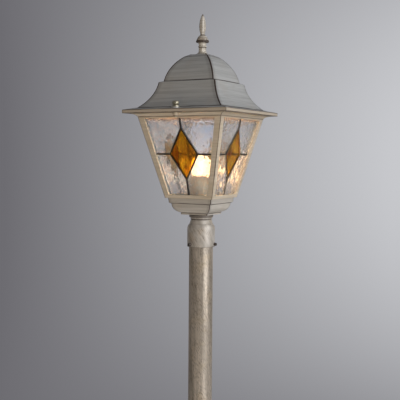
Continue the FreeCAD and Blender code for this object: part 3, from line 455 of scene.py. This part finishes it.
def glazeAndShadeMarks(tree, place, height, fine, cloud, look):
    # brown left in patchy scuffs, along creases as glazing and painted shade, on hips and in ribs
    wander = addNode(tree, "ShaderNodeMapRange", {**soft, **look["wander"]}, {"Value": cloud}).outputs[0]
    scuffs = addNode(tree, "ShaderNodeMapRange",
                     {**soft, "From Min": look["scuffFrom"], "From Max": look["scuffTo"],
                      "To Min": look["fineGlaze"], "To Max": 0.0}, {"Value": fine}).outputs[0]
    patchy = addNode(tree, "ShaderNodeMapRange",
                     {**soft, "From Min": look["patch"][0], "From Max": look["patch"][1]},
                     {"Value": cloud}).outputs[0]
    marks = [addNode(tree, "ShaderNodeMath", {"operation": "MULTIPLY"}, {0: scuffs, 1: patchy}).outputs[0]]
    for level, width, strength in look["lines"]:
        gap = addNode(tree, "ShaderNodeMath", {"operation": "SUBTRACT", 1: level}, {0: height})
        size = addNode(tree, "ShaderNodeMath", {"operation": "ABSOLUTE"}, {0: gap.outputs[0]})
        ragged = addNode(tree, "ShaderNodeMath", {"operation": "ADD"}, {0: size.outputs[0], 1: wander})
        line = addNode(tree, "ShaderNodeMapRange",
                       {**soft, "From Min": width * look["solid"], "From Max": width,
                        "To Min": strength, "To Max": 0.0}, {"Value": ragged.outputs[0]})
        marks.append(line.outputs[0])
    if look["hips"]:
        away = addNode(tree, "ShaderNodeMath", {"operation": "ABSOLUTE"}, {0: sideways(tree, place)})
        ragged = addNode(tree, "ShaderNodeMath", {"operation": "ADD"}, {0: away.outputs[0], 1: wander})
        depth = addNode(tree, "ShaderNodeSeparateXYZ", links={0: place}).outputs["Y"]
        wiped = addNode(tree, "ShaderNodeMapRange", {**soft, **look["rearHips"]}, {"Value": depth}).outputs[0]
        if look["foot"]:
            brim = addNode(tree, "ShaderNodeMapRange",
                           {**soft, "From Min": look["foot"] - look["footFade"],
                            "From Max": look["foot"] + look["footFade"], "To Min": look["footHips"]},
                           {"Value": height})
            wiped = addNode(tree, "ShaderNodeMath", {"operation": "MULTIPLY"},
                            {0: wiped, 1: brim.outputs[0]}).outputs[0]
        for reach, strength in look["hips"]:
            edge = addNode(tree, "ShaderNodeMapRange",
                           {**soft, "From Min": reach * look["solid"], "From Max": reach,
                            "To Min": strength, "To Max": 0.0}, {"Value": ragged.outputs[0]})
            line = addNode(tree, "ShaderNodeMath", {"operation": "MULTIPLY"}, {0: edge.outputs[0], 1: wiped})
            marks.append(line.outputs[0])
    if look["ribs"]:
        count, level, width, strength = look["ribs"]
        parts = addNode(tree, "ShaderNodeSeparateXYZ", links={0: place})
        angle = addNode(tree, "ShaderNodeMath", {"operation": "ARCTAN2"},
                        {0: parts.outputs["Y"], 1: parts.outputs["X"]})
        turns = addNode(tree, "ShaderNodeMath", {"operation": "MULTIPLY", 1: count / math.tau},
                        {0: angle.outputs[0]})
        part = addNode(tree, "ShaderNodeMath", {"operation": "FRACT"}, {0: turns.outputs[0]})
        # the distance from the middle of each part
        gap = addNode(tree, "ShaderNodeMath", {"operation": "SUBTRACT", 1: 0.5}, {0: part.outputs[0]})
        size = addNode(tree, "ShaderNodeMath", {"operation": "ABSOLUTE"}, {0: gap.outputs[0]})
        rib = addNode(tree, "ShaderNodeMapRange",
                      {**soft, "From Max": width, "To Min": strength, "To Max": 0.0},
                      {"Value": size.outputs[0]})
        above = addNode(tree, "ShaderNodeMapRange",
                        {**soft, "From Min": level, "From Max": level + look["ribFade"]}, {"Value": height})
        line = addNode(tree, "ShaderNodeMath", {"operation": "MULTIPLY"},
                       {0: rib.outputs[0], 1: above.outputs[0]})
        marks.append(line.outputs[0])
    glazeAndShade = marks[0]
    for mark in marks[1:]:
        glazeAndShade = addNode(tree, "ShaderNodeMath", {"operation": "MAXIMUM"}, {0: glazeAndShade, 1: mark}).outputs[0]
    return glazeAndShade


def antiqueCast(name, look):
    # faint brush lines in a cream that is warmer in clouds, and brown on hips and in creases, there also
    # painted shade
    material, tree, shader, output, place = startMaterial(name, {"Metallic": look["metallic"]})
    height = addNode(tree, "ShaderNodeSeparateXYZ", links={0: place}).outputs["Z"]
    fineTwist = look["twist"] if look["fineTwist"] is None else look["fineTwist"]
    broad = brushStreaks(tree, place, look["broadLong"], look["broadAcross"], look["twist"])
    fine = brushStreaks(tree, place, look["fineLong"], look["fineAcross"], fineTwist)
    cloud = addNode(tree, "ShaderNodeTexNoise", {"Scale": perMetre(look["cloud"]), "Detail": 3.0},
                    {"Vector": place}).outputs[0]
    grain = addNode(tree, "ShaderNodeTexNoise", {"Scale": perMetre(look["grain"]), "Detail": 2.0},
                    {"Vector": place}).outputs[0]
    brushed = addNode(tree, "ShaderNodeMapRange", {**soft, **look["brushEdge"]}, {"Value": broad})
    colour = addNode(tree, "ShaderNodeMix",
                     {"data_type": "RGBA", 6: linear(look["shade"]), 7: linear(look["cream"])},
                     {0: brushed.outputs[0]})
    warmer = addNode(tree, "ShaderNodeMapRange", {**soft, **look["warmEdge"], "To Max": look["warmth"]},
                     {"Value": cloud})
    colour = addNode(tree, "ShaderNodeMix", {"data_type": "RGBA", 7: linear(look["warm"])},
                     {0: warmer.outputs[0], 6: colour.outputs[2]})
    if look["foot"]:
        brim = addNode(tree, "ShaderNodeMapRange",
                       {**soft, "From Min": look["foot"] - look["footFade"],
                        "From Max": look["foot"] + look["footFade"],
                        "To Min": look["footShare"], "To Max": 0.0}, {"Value": height})
        colour = addNode(tree, "ShaderNodeMix", {"data_type": "RGBA", 7: linear(look["footColour"])},
                         {0: brim.outputs[0], 6: colour.outputs[2]})
    glazeAndShade = glazeAndShadeMarks(tree, place, height, fine, cloud, look)
    colour = addNode(tree, "ShaderNodeMix", {"data_type": "RGBA", 7: linear(look["glazeAndShade"])},
                     {0: glazeAndShade, 6: colour.outputs[2]})
    tree.links.new(colour.outputs[2], shader.inputs["Base Color"])
    shine = addNode(tree, "ShaderNodeMapRange",
                    {**soft, **look["shineEdge"], "To Min": look["rough"] + look["duller"],
                     "To Max": look["rough"] - look["shinier"]}, {"Value": broad})
    tree.links.new(shine.outputs[0], shader.inputs["Roughness"])
    relief = addNode(tree, "ShaderNodeMath", {"operation": "MULTIPLY_ADD", 1: look["fineRelief"]},
                     {0: fine, 2: grain})
    bump = addNode(tree, "ShaderNodeBump", {"Strength": look["bump"], "Distance": look["bumpDepth"]},
                   {"Height": relief.outputs[0]})
    tree.links.new(bump.outputs[0], shader.inputs["Normal"])
    return material


roofFoot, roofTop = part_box("roof")
roofLook = dict(castBase, cream="#bcbcb9", shade="#a9a9a6", warm="#b3a99c", warmth=0.3, metallic=0.3,
                broadLong=110.0, broadAcross=2.4, fineGlaze=0.2,
                hips=[(0.0028, 1.0), (0.010, 0.22)], foot=roofFoot.z + 0.0056,
                # the line at the roof's foot darkens the brim's underside: brown glazing and painted shade
                lines=[(roofFoot.z, 0.0011, 0.75), (roofFoot.z + 0.0055, 0.0010, 0.75),
                       (roofFoot.z + 0.0094, 0.0013, 0.85), (roofFoot.z + 0.0529, 0.0011, 0.9),
                       (roofFoot.z + 0.0938, 0.0009, 0.6)])
dress(["roof"], antiqueCast("wiped cream roof enamel", roofLook))

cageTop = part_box("lantern_cage")[1]
cageLook = dict(castBase, cream="#d3c5af", shade="#c0b199", hips=[(0.0012, 0.8)],
                lines=[(cageTop.z - 0.0054, 0.0010, 0.65), (cageTop.z, 0.0009, 0.5)])
dress(["lantern_cage"], antiqueCast("wiped cream cage enamel", cageLook))

panFoot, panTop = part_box("lantern_pan")
panLook = dict(castBase, hips=[(0.0014, 0.9), (0.007, 0.2)],
               lines=[(panFoot.z + 0.0030, 0.0010, 0.7), (panTop.z - 0.0087, 0.0010, 0.75),
                      (panTop.z, 0.0007, 0.6)])
dress(["lantern_pan"], antiqueCast("wiped cream pan enamel", panLook))

fitterFoot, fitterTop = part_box("post_fitter")
fitterLook = dict(castBase, cream="#c1bab0", shade="#a69f94", metallic=0.3, broadLong=26.0, broadAcross=7.0,
                  fineLong=14.0, fineAcross=1.2, twist=1.4, fineGlaze=0.75, cloud=17.0, scuffTo=0.52,
                  lines=[(fitterFoot.z, 0.0010, 0.5), (fitterFoot.z + 0.0380, 0.0008, 0.15),
                         (fitterTop.z - 0.0065, 0.0012, 0.9), (fitterTop.z - 0.0030, 0.0008, 0.7),
                         (fitterTop.z, 0.0045, 0.6)])
dress(["post_fitter"], antiqueCast("wiped cream fitter enamel", fitterLook))

finialLook = dict(castBase, cream="#c9c2b5", shade="#b3ab9d", broadLong=14.0, broadAcross=2.0, fineLong=10.0,
                  fineAcross=0.8, fineGlaze=0.5, cloud=9.0, ribs=(8, roofTop.z + 0.033, 0.2, 0.62),
                  lines=[(roofTop.z + 0.0003, 0.0016, 0.7), (roofTop.z + 0.0116, 0.0012, 0.7),
                         (roofTop.z + 0.0215, 0.0034, 0.92), (roofTop.z + 0.0264, 0.0020, 0.45),
                         (roofTop.z + 0.0316, 0.0022, 0.75), (roofTop.z + 0.0660, 0.0045, 0.7)])
dress(["finial"], antiqueCast("wiped cream finial enamel", finialLook))

baseLook = dict(castBase, broadLong=30.0, broadAcross=2.6, fineLong=22.0, fineAcross=1.0, twist=0.9,
                fineGlaze=0.35, lines=[(0.0085, 0.0016, 0.7), (0.083, 0.001, 0.6), (0.089, 0.001, 0.6)])
dress(["base_flange"], antiqueCast("wiped cream base enamel", baseLook))
print("castings dressed")

# Drawn tube under a champagne lacquer that was wiped round it, so it shines more than the castings
tubeLook = dict(castBase, cream="#d7c9b7", shade="#a79c8d", warm="#c9b698", warmth=0.5, glazeAndShade="#51473f",
                metallic=0.62, rough=0.43, broadLong=160.0, broadAcross=8.0, twist=0.12,
                fineLong=5.5, fineAcross=1.5, fineTwist=1.1, fineGlaze=0.62, cloud=22.0, scuffTo=0.58,
                patch=(0.22, 0.52))
dress(["post_tube"], antiqueCast("champagne lacquered tube", tubeLook))

# Clear panes; each pair of shares is that of the front and rear panes, then that of the side panes
paneFoot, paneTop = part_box("clear_panes_front")
glassLook = {
    "pink": "#f3f1f6", "blue": "#dff0ff", "tintSize": 4.5, "tintEdge": {"From Min": 0.4, "From Max": 0.6},
    "straw": "#e9dcc6", "strawShare": (0.0, 0.6), "rough": 0.06, "milk": 0.07, "lampTint": "#e8ecee",
    "seed": 2.4, "bump": 0.3, "depth": 0.00015, "corner": 0.001,
    "wisp": 34.0, "wispShift": (14.7, 2.9, 9.7), "wispEdge": {"From Min": 0.36, "From Max": 0.68},
    "wispColour": "#dfe9ff", "wispShare": (0.2, 0.03), "wispFrom": paneFoot.z + 0.058, "wispFade": 0.02,
    "glintAcross": 3.6, "glintLong": 14.0, "glintEdge": {"From Min": 0.48, "From Max": 0.62},
    "glintColour": "#fff0d8", "glintShare": (0.03, 0.6),
    "clump": 22.0, "clumpEdge": {"From Min": 0.42, "From Max": 0.58, "To Min": 0.25},
    "warmColour": "#ffd9ae", "warmShare": 0.25, "warmFrom": paneTop.z - 0.014, "warmFade": 0.010,
}


def lampGlass(tree, shader, output, tint):
    # light shines through the glass, so the bulb lights what is outside it
    path = addNode(tree, "ShaderNodeLightPath")
    clear = addNode(tree, "ShaderNodeBsdfTransparent", {"Color": linear(tint)})
    blend = addNode(tree, "ShaderNodeMixShader",
                    links={0: path.outputs["Is Shadow Ray"], 1: shader.outputs[0], 2: clear.outputs[0]})
    tree.links.new(blend.outputs[0], output.inputs["Surface"])


def milkyGlass(tree, place, shader, shares, look):
    # white wisps high in the sheet, clumps of bright ripples low in it and a warm band along its top edge, a
    # painted reflection of the lit head rail, let the bulb's light through softly
    height = addNode(tree, "ShaderNodeSeparateXYZ", links={0: place}).outputs["Z"]
    upper = addNode(tree, "ShaderNodeMapRange",
                    {**soft, "From Min": look["wispFrom"], "From Max": look["wispFrom"] + look["wispFade"]},
                    {"Value": height}).outputs[0]
    drift = addNode(tree, "ShaderNodeMapping",
                    {"Location": look["wispShift"], "Scale": [perMetre(look["wisp"])] * 3}, {"Vector": place})
    cloud = addNode(tree, "ShaderNodeTexNoise", {"Scale": 1.0, "Detail": 4.0, "Roughness": 0.6},
                    {"Vector": drift.outputs[0]})
    white = addNode(tree, "ShaderNodeMapRange", {**soft, **look["wispEdge"]}, {"Value": cloud.outputs[0]})
    wisps = addNode(tree, "ShaderNodeMath", {"operation": "MULTIPLY"},
                    {0: white.outputs[0], 1: shares["wispShare"]})
    across = perMetre(look["glintAcross"])
    run = addNode(tree, "ShaderNodeMapping", {"Scale": (across, across, perMetre(look["glintLong"]))},
                  {"Vector": place})
    ripple = addNode(tree, "ShaderNodeTexNoise", {"Scale": 1.0, "Detail": 3.0}, {"Vector": run.outputs[0]})
    spark = addNode(tree, "ShaderNodeMapRange", {**soft, **look["glintEdge"]}, {"Value": ripple.outputs[0]})
    clump = addNode(tree, "ShaderNodeTexNoise", {"Scale": perMetre(look["clump"]), "Detail": 1.0},
                    {"Vector": place})
    gather = addNode(tree, "ShaderNodeMapRange", {**soft, **look["clumpEdge"]}, {"Value": clump.outputs[0]})
    glints = addNode(tree, "ShaderNodeMath", {"operation": "MULTIPLY"},
                     {0: spark.outputs[0], 1: shares["glintShare"]})
    glints = addNode(tree, "ShaderNodeMath", {"operation": "MULTIPLY"},
                     {0: glints.outputs[0], 1: gather.outputs[0]})
    # a warm translucent band under the head rail: painted reflection of the lit rail
    railReflection = addNode(tree, "ShaderNodeMapRange",
                   {**soft, "From Min": look["warmFrom"], "From Max": look["warmFrom"] + look["warmFade"]},
                   {"Value": height}).outputs[0]
    share = addNode(tree, "ShaderNodeMix", links={0: upper, 2: glints.outputs[0], 3: wisps.outputs[0]})
    share = addNode(tree, "ShaderNodeMath", {"operation": "MULTIPLY_ADD", 1: look["warmShare"]},
                    {0: railReflection, 2: share.outputs[0]})
    hue = addNode(tree, "ShaderNodeMix",
                  {"data_type": "RGBA", 6: linear(look["glintColour"]), 7: linear(look["wispColour"])},
                  {0: upper})
    hue = addNode(tree, "ShaderNodeMix", {"data_type": "RGBA", 7: linear(look["warmColour"])},
                  {0: railReflection, 6: hue.outputs[2]})
    spread = addNode(tree, "ShaderNodeBsdfTranslucent", links={"Color": hue.outputs[2]})
    return addNode(tree, "ShaderNodeMixShader",
                   links={0: share.outputs[0], 1: shader.outputs[0], 2: spread.outputs[0]})


def hammeredGlass(look):
    # Rolled cathedral glass: clear with a faint milkiness, its faces dimpled, tinted pink and blue in
    # patches, and straw in the side panes
    material, tree, shader, output, place = startMaterial(
        "hammered clear glass",
        {"Roughness": look["rough"], "IOR": 1.5, "Transmission Weight": 1 - look["milk"]})
    aside = sideways(tree, place)
    shares = {}
    for name in ("strawShare", "wispShare", "glintShare"):
        ahead, beside = look[name]
        shares[name] = addNode(tree, "ShaderNodeMapRange",
                               {**soft, "From Min": -look["corner"], "From Max": look["corner"],
                                "To Min": ahead, "To Max": beside}, {"Value": aside}).outputs[0]
    patch = addNode(tree, "ShaderNodeTexNoise", {"Scale": perMetre(look["tintSize"]), "Detail": 2.0},
                    {"Vector": place})
    bluer = addNode(tree, "ShaderNodeMapRange", {**soft, **look["tintEdge"]}, {"Value": patch.outputs[0]})
    tint = addNode(tree, "ShaderNodeMix",
                   {"data_type": "RGBA", 6: linear(look["pink"]), 7: linear(look["blue"])},
                   {0: bluer.outputs[0]})
    tint = addNode(tree, "ShaderNodeMix", {"data_type": "RGBA", 7: linear(look["straw"])},
                   {0: shares["strawShare"], 6: tint.outputs[2]})
    tree.links.new(tint.outputs[2], shader.inputs["Base Color"])
    seeds = addNode(tree, "ShaderNodeTexNoise", {"Scale": perMetre(look["seed"]), "Detail": 2.0},
                    {"Vector": place})
    bump = addNode(tree, "ShaderNodeBump", {"Strength": look["bump"], "Distance": look["depth"]},
                   {"Height": seeds.outputs[0]})
    tree.links.new(bump.outputs[0], shader.inputs["Normal"])
    lampGlass(tree, milkyGlass(tree, place, shader, shares, look), output, look["lampTint"])
    return material


dress([f"clear_panes_{side}" for side in sides], hammeredGlass(glassLook))

amberLook = {"pale": "#e3b324", "deep": "#c67a12", "streakLong": 30.0, "streakAcross": 4.0,
             "streakEdge": {"From Min": 0.35, "From Max": 0.6}, "bump": 0.4, "depth": 0.0004,
             "orange": "#c4560c", "orangeShare": 0.35, "threadLong": 60.0, "threadAcross": 2.0,
             "threadEdge": {"From Min": 0.5, "From Max": 0.64}, "rough": 0.08, "hazy": 0.12}


def streakyAmber(look):
    # Streaky amber glass: darker streaks and hazy orange threads drawn up through a honey body
    material, tree, shader, output, place = startMaterial(
        "streaky amber glass", {"IOR": 1.4, "Transmission Weight": 1.0})
    across = perMetre(look["streakAcross"])
    flow = addNode(tree, "ShaderNodeMapping", {"Scale": (across, across, perMetre(look["streakLong"]))},
                   {"Vector": place})
    streaks = addNode(tree, "ShaderNodeTexNoise", {"Scale": 1.0, "Detail": 3.0, "Distortion": 0.6},
                      {"Vector": flow.outputs[0]}).outputs[0]
    paler = addNode(tree, "ShaderNodeMapRange", {**soft, **look["streakEdge"]}, {"Value": streaks})
    colour = addNode(tree, "ShaderNodeMix",
                     {"data_type": "RGBA", 6: linear(look["deep"]), 7: linear(look["pale"])},
                     {0: paler.outputs[0]})
    across = perMetre(look["threadAcross"])
    run = addNode(tree, "ShaderNodeMapping", {"Scale": (across, across, perMetre(look["threadLong"]))},
                  {"Vector": place})
    threads = addNode(tree, "ShaderNodeTexNoise", {"Scale": 1.0, "Detail": 3.0, "Distortion": 0.4},
                      {"Vector": run.outputs[0]}).outputs[0]
    redder = addNode(tree, "ShaderNodeMapRange",
                     {**soft, **look["threadEdge"], "To Max": look["orangeShare"]}, {"Value": threads})
    colour = addNode(tree, "ShaderNodeMix", {"data_type": "RGBA", 7: linear(look["orange"])},
                     {0: redder.outputs[0], 6: colour.outputs[2]})
    tree.links.new(colour.outputs[2], shader.inputs["Base Color"])
    haze = addNode(tree, "ShaderNodeMapRange",
                   {**soft, **look["threadEdge"], "To Min": look["rough"], "To Max": look["hazy"]},
                   {"Value": threads})
    tree.links.new(haze.outputs[0], shader.inputs["Roughness"])
    bump = addNode(tree, "ShaderNodeBump", {"Strength": look["bump"], "Distance": look["depth"]},
                   {"Height": streaks})
    tree.links.new(bump.outputs[0], shader.inputs["Normal"])
    lampGlass(tree, shader, output, look["pale"])
    return material


dress([f"amber_lozenge_{side}" for side in sides], streakyAmber(amberLook))

mottling = {"edge": {"From Min": 0.35, "From Max": 0.65}, "duller": 0.12, "bump": 0.2, "depth": 0.0001}


def plainFinish(name, look):
    # A small part's finish: its own colour with fine mottling, rougher in the dull patches
    material, tree, shader, output, place = startMaterial(name, {"Metallic": look["metallic"]})
    mottle = addNode(tree, "ShaderNodeTexNoise", {"Scale": perMetre(look["mottle"]), "Detail": 3.0},
                     {"Vector": place}).outputs[0]
    brighter = addNode(tree, "ShaderNodeMapRange", {**soft, **mottling["edge"]}, {"Value": mottle})
    colour = addNode(tree, "ShaderNodeMix",
                     {"data_type": "RGBA", 6: linear(look["dull"]), 7: linear(look["bright"])},
                     {0: brighter.outputs[0]})
    tree.links.new(colour.outputs[2], shader.inputs["Base Color"])
    shine = addNode(tree, "ShaderNodeMapRange",
                    {**soft, **mottling["edge"], "To Min": look["rough"] + mottling["duller"],
                     "To Max": look["rough"]}, {"Value": mottle})
    tree.links.new(shine.outputs[0], shader.inputs["Roughness"])
    bump = addNode(tree, "ShaderNodeBump", {"Strength": mottling["bump"], "Distance": mottling["depth"]},
                   {"Height": mottle})
    tree.links.new(bump.outputs[0], shader.inputs["Normal"])
    return material


smallFinishes = {
    # milled lead, blackened with patina: nearly black, with a soft sheen
    "blackened lead": (
        {"dull": "#1d1713", "bright": "#33291f", "metallic": 0.3, "rough": 0.5, "mottle": 2.0},
        [f"lead_came_{side}" for side in sides]),
    # turned brass, dulled outdoors: a greyish straw with brighter spots
    "dulled brass": (
        {"dull": "#a39d84", "bright": "#cdc6ad", "metallic": 0.85, "rough": 0.34, "mottle": 1.2},
        ["thumb_washers", "thumb_screw_front", "thumb_screw_rear", "earth_screw", "lampholder_shell",
         "lampholder_contact"]),
    # turned steel under black oxide: dark, worn to grey in spots
    "black oxide steel": (
        {"dull": "#3c3532", "bright": "#7a706a", "metallic": 0.7, "rough": 0.42, "mottle": 1.0},
        ["base_grub_screws", "clamp_screw_1", "clamp_screw_2", "clamp_screw_3"]),
    # steel under bright zinc plating: a cool grey, faintly mottled
    "zinc plated steel": (
        {"dull": "#9a9c9e", "bright": "#c6c8c9", "metallic": 0.95, "rough": 0.34, "mottle": 2.5},
        ["terminal_bracket", "terminal_screws", "threaded_nipple", "nipple_nuts", "nipple_washers",
         "cage_screws", "corner_beads", "bead_screws", "lampholder_bracket", "lampholder_screws",
         "finial_washer", "finial_nut"]),
    # rolled zinc channel, coloured near white so that it reads lit in the window's shade: painted light, a
    # light line round each panel
    "border zinc painted lit": (
        {"dull": "#efe5cf", "bright": "#fbf3e2", "metallic": 0.1, "rough": 0.4, "mottle": 2.5},
        [f"zinc_border_{side}" for side in sides]),
    # pressed porcelain under a glaze: glossy, and yellowed in broad patches
    "glazed porcelain": (
        {"dull": "#c4ae8a", "bright": "#d6c3a2", "metallic": 0.0, "rough": 0.22, "mottle": 14.0},
        ["lampholder_body"]),
    # rolled aluminium sheet: bright and faintly cloudy
    "rolled cap aluminium": (
        {"dull": "#b5b6b8", "bright": "#d8d9da", "metallic": 1.0, "rough": 0.28, "mottle": 2.0},
        ["bulb_cap", "bulb_contact"]),
    # fused black glass: deep black and glossy
    "black insulator glass": (
        {"dull": "#0c0c0d", "bright": "#17171a", "metallic": 0.0, "rough": 0.15, "mottle": 3.0},
        ["bulb_insulator"]),
    # moulded nylon: off-white, with a faint mottling
    "moulded terminal plastic": (
        {"dull": "#cfccc2", "bright": "#dedbd2", "metallic": 0.0, "rough": 0.5, "mottle": 1.5},
        ["terminal_block"]),
    # moulded rubber: matt black, faintly dusty
    "black rubber": (
        {"dull": "#121212", "bright": "#1d1d1c", "metallic": 0.0, "rough": 0.7, "mottle": 1.2},
        ["neck_gasket", "supply_lead"]),
}
for finish, (look, wearers) in smallFinishes.items():
    dress(wearers, plainFinish(finish, look))

bulbLook = {"glass": "#fff4e6", "rough": 0.5, "glow": "#ffb878", "glowStrength": 0.52,
            "etch": 0.6, "bump": 0.2, "etchDepth": 0.0001,
            "hot": "#ffebd2", "hotRough": 0.6, "strength": 190.0, "seen": 1.4, "wallsBefore": 4.5,
            "hotGrain": 6.0, "hotEdge": {"From Min": 0.3, "From Max": 0.7, "To Min": 0.85}}


def frostedBulb(look):
    # Etched bulb glass: it spreads the core's light, so it is white in the middle, and its own painted peach
    # glow shows towards its outline
    material, tree, shader, output, place = startMaterial(
        "lit frosted glass", {"Base Color": linear(look["glass"]), "Roughness": look["rough"], "IOR": 1.3,
                              "Transmission Weight": 1.0, "Emission Color": linear(look["glow"]),
                              "Emission Strength": look["glowStrength"]})
    etch = addNode(tree, "ShaderNodeTexNoise", {"Scale": perMetre(look["etch"]), "Detail": 2.0},
                   {"Vector": place})
    bump = addNode(tree, "ShaderNodeBump", {"Strength": look["bump"], "Distance": look["etchDepth"]},
                   {"Height": etch.outputs[0]})
    tree.links.new(bump.outputs[0], shader.inputs["Normal"])
    lampGlass(tree, shader, output, look["glass"])
    return material


def lightCore(look):
    # Glowing core: nearly even white, with the faint unevenness of its phosphor; what is looked at straight
    # through a pane and the bulb is toned down, so that the picture doesn't burn out there
    material, tree, shader, output, place = startMaterial(
        "glowing core", {"Base Color": linear(look["glass"]), "Roughness": look["hotRough"],
                         "Emission Color": linear(look["hot"])})
    grain = addNode(tree, "ShaderNodeTexNoise", {"Scale": perMetre(look["hotGrain"])}, {"Vector": place})
    uneven = addNode(tree, "ShaderNodeMapRange", {**soft, **look["hotEdge"]}, {"Value": grain.outputs[0]})
    path = addNode(tree, "ShaderNodeLightPath")
    through = addNode(tree, "ShaderNodeMath", {"operation": "MAXIMUM"},
                      {0: path.outputs["Is Camera Ray"], 1: path.outputs["Is Transmission Ray"]})
    straight = addNode(tree, "ShaderNodeMath", {"operation": "LESS_THAN", 1: look["wallsBefore"]},
                       {0: path.outputs["Ray Depth"]})
    direct = addNode(tree, "ShaderNodeMath", {"operation": "MULTIPLY"},
                     {0: through.outputs[0], 1: straight.outputs[0]})
    power = addNode(tree, "ShaderNodeMapRange", {**soft, "To Min": look["strength"], "To Max": look["seen"]},
                    {"Value": direct.outputs[0]})
    strength = addNode(tree, "ShaderNodeMath", {"operation": "MULTIPLY"},
                       {0: power.outputs[0], 1: uneven.outputs[0]})
    tree.links.new(strength.outputs[0], shader.inputs["Emission Strength"])
    return material


dress(["bulb_globe"], frostedBulb(bulbLook))
dress(["bulb_light_core"], lightCore(bulbLook))
print("finishes dressed")
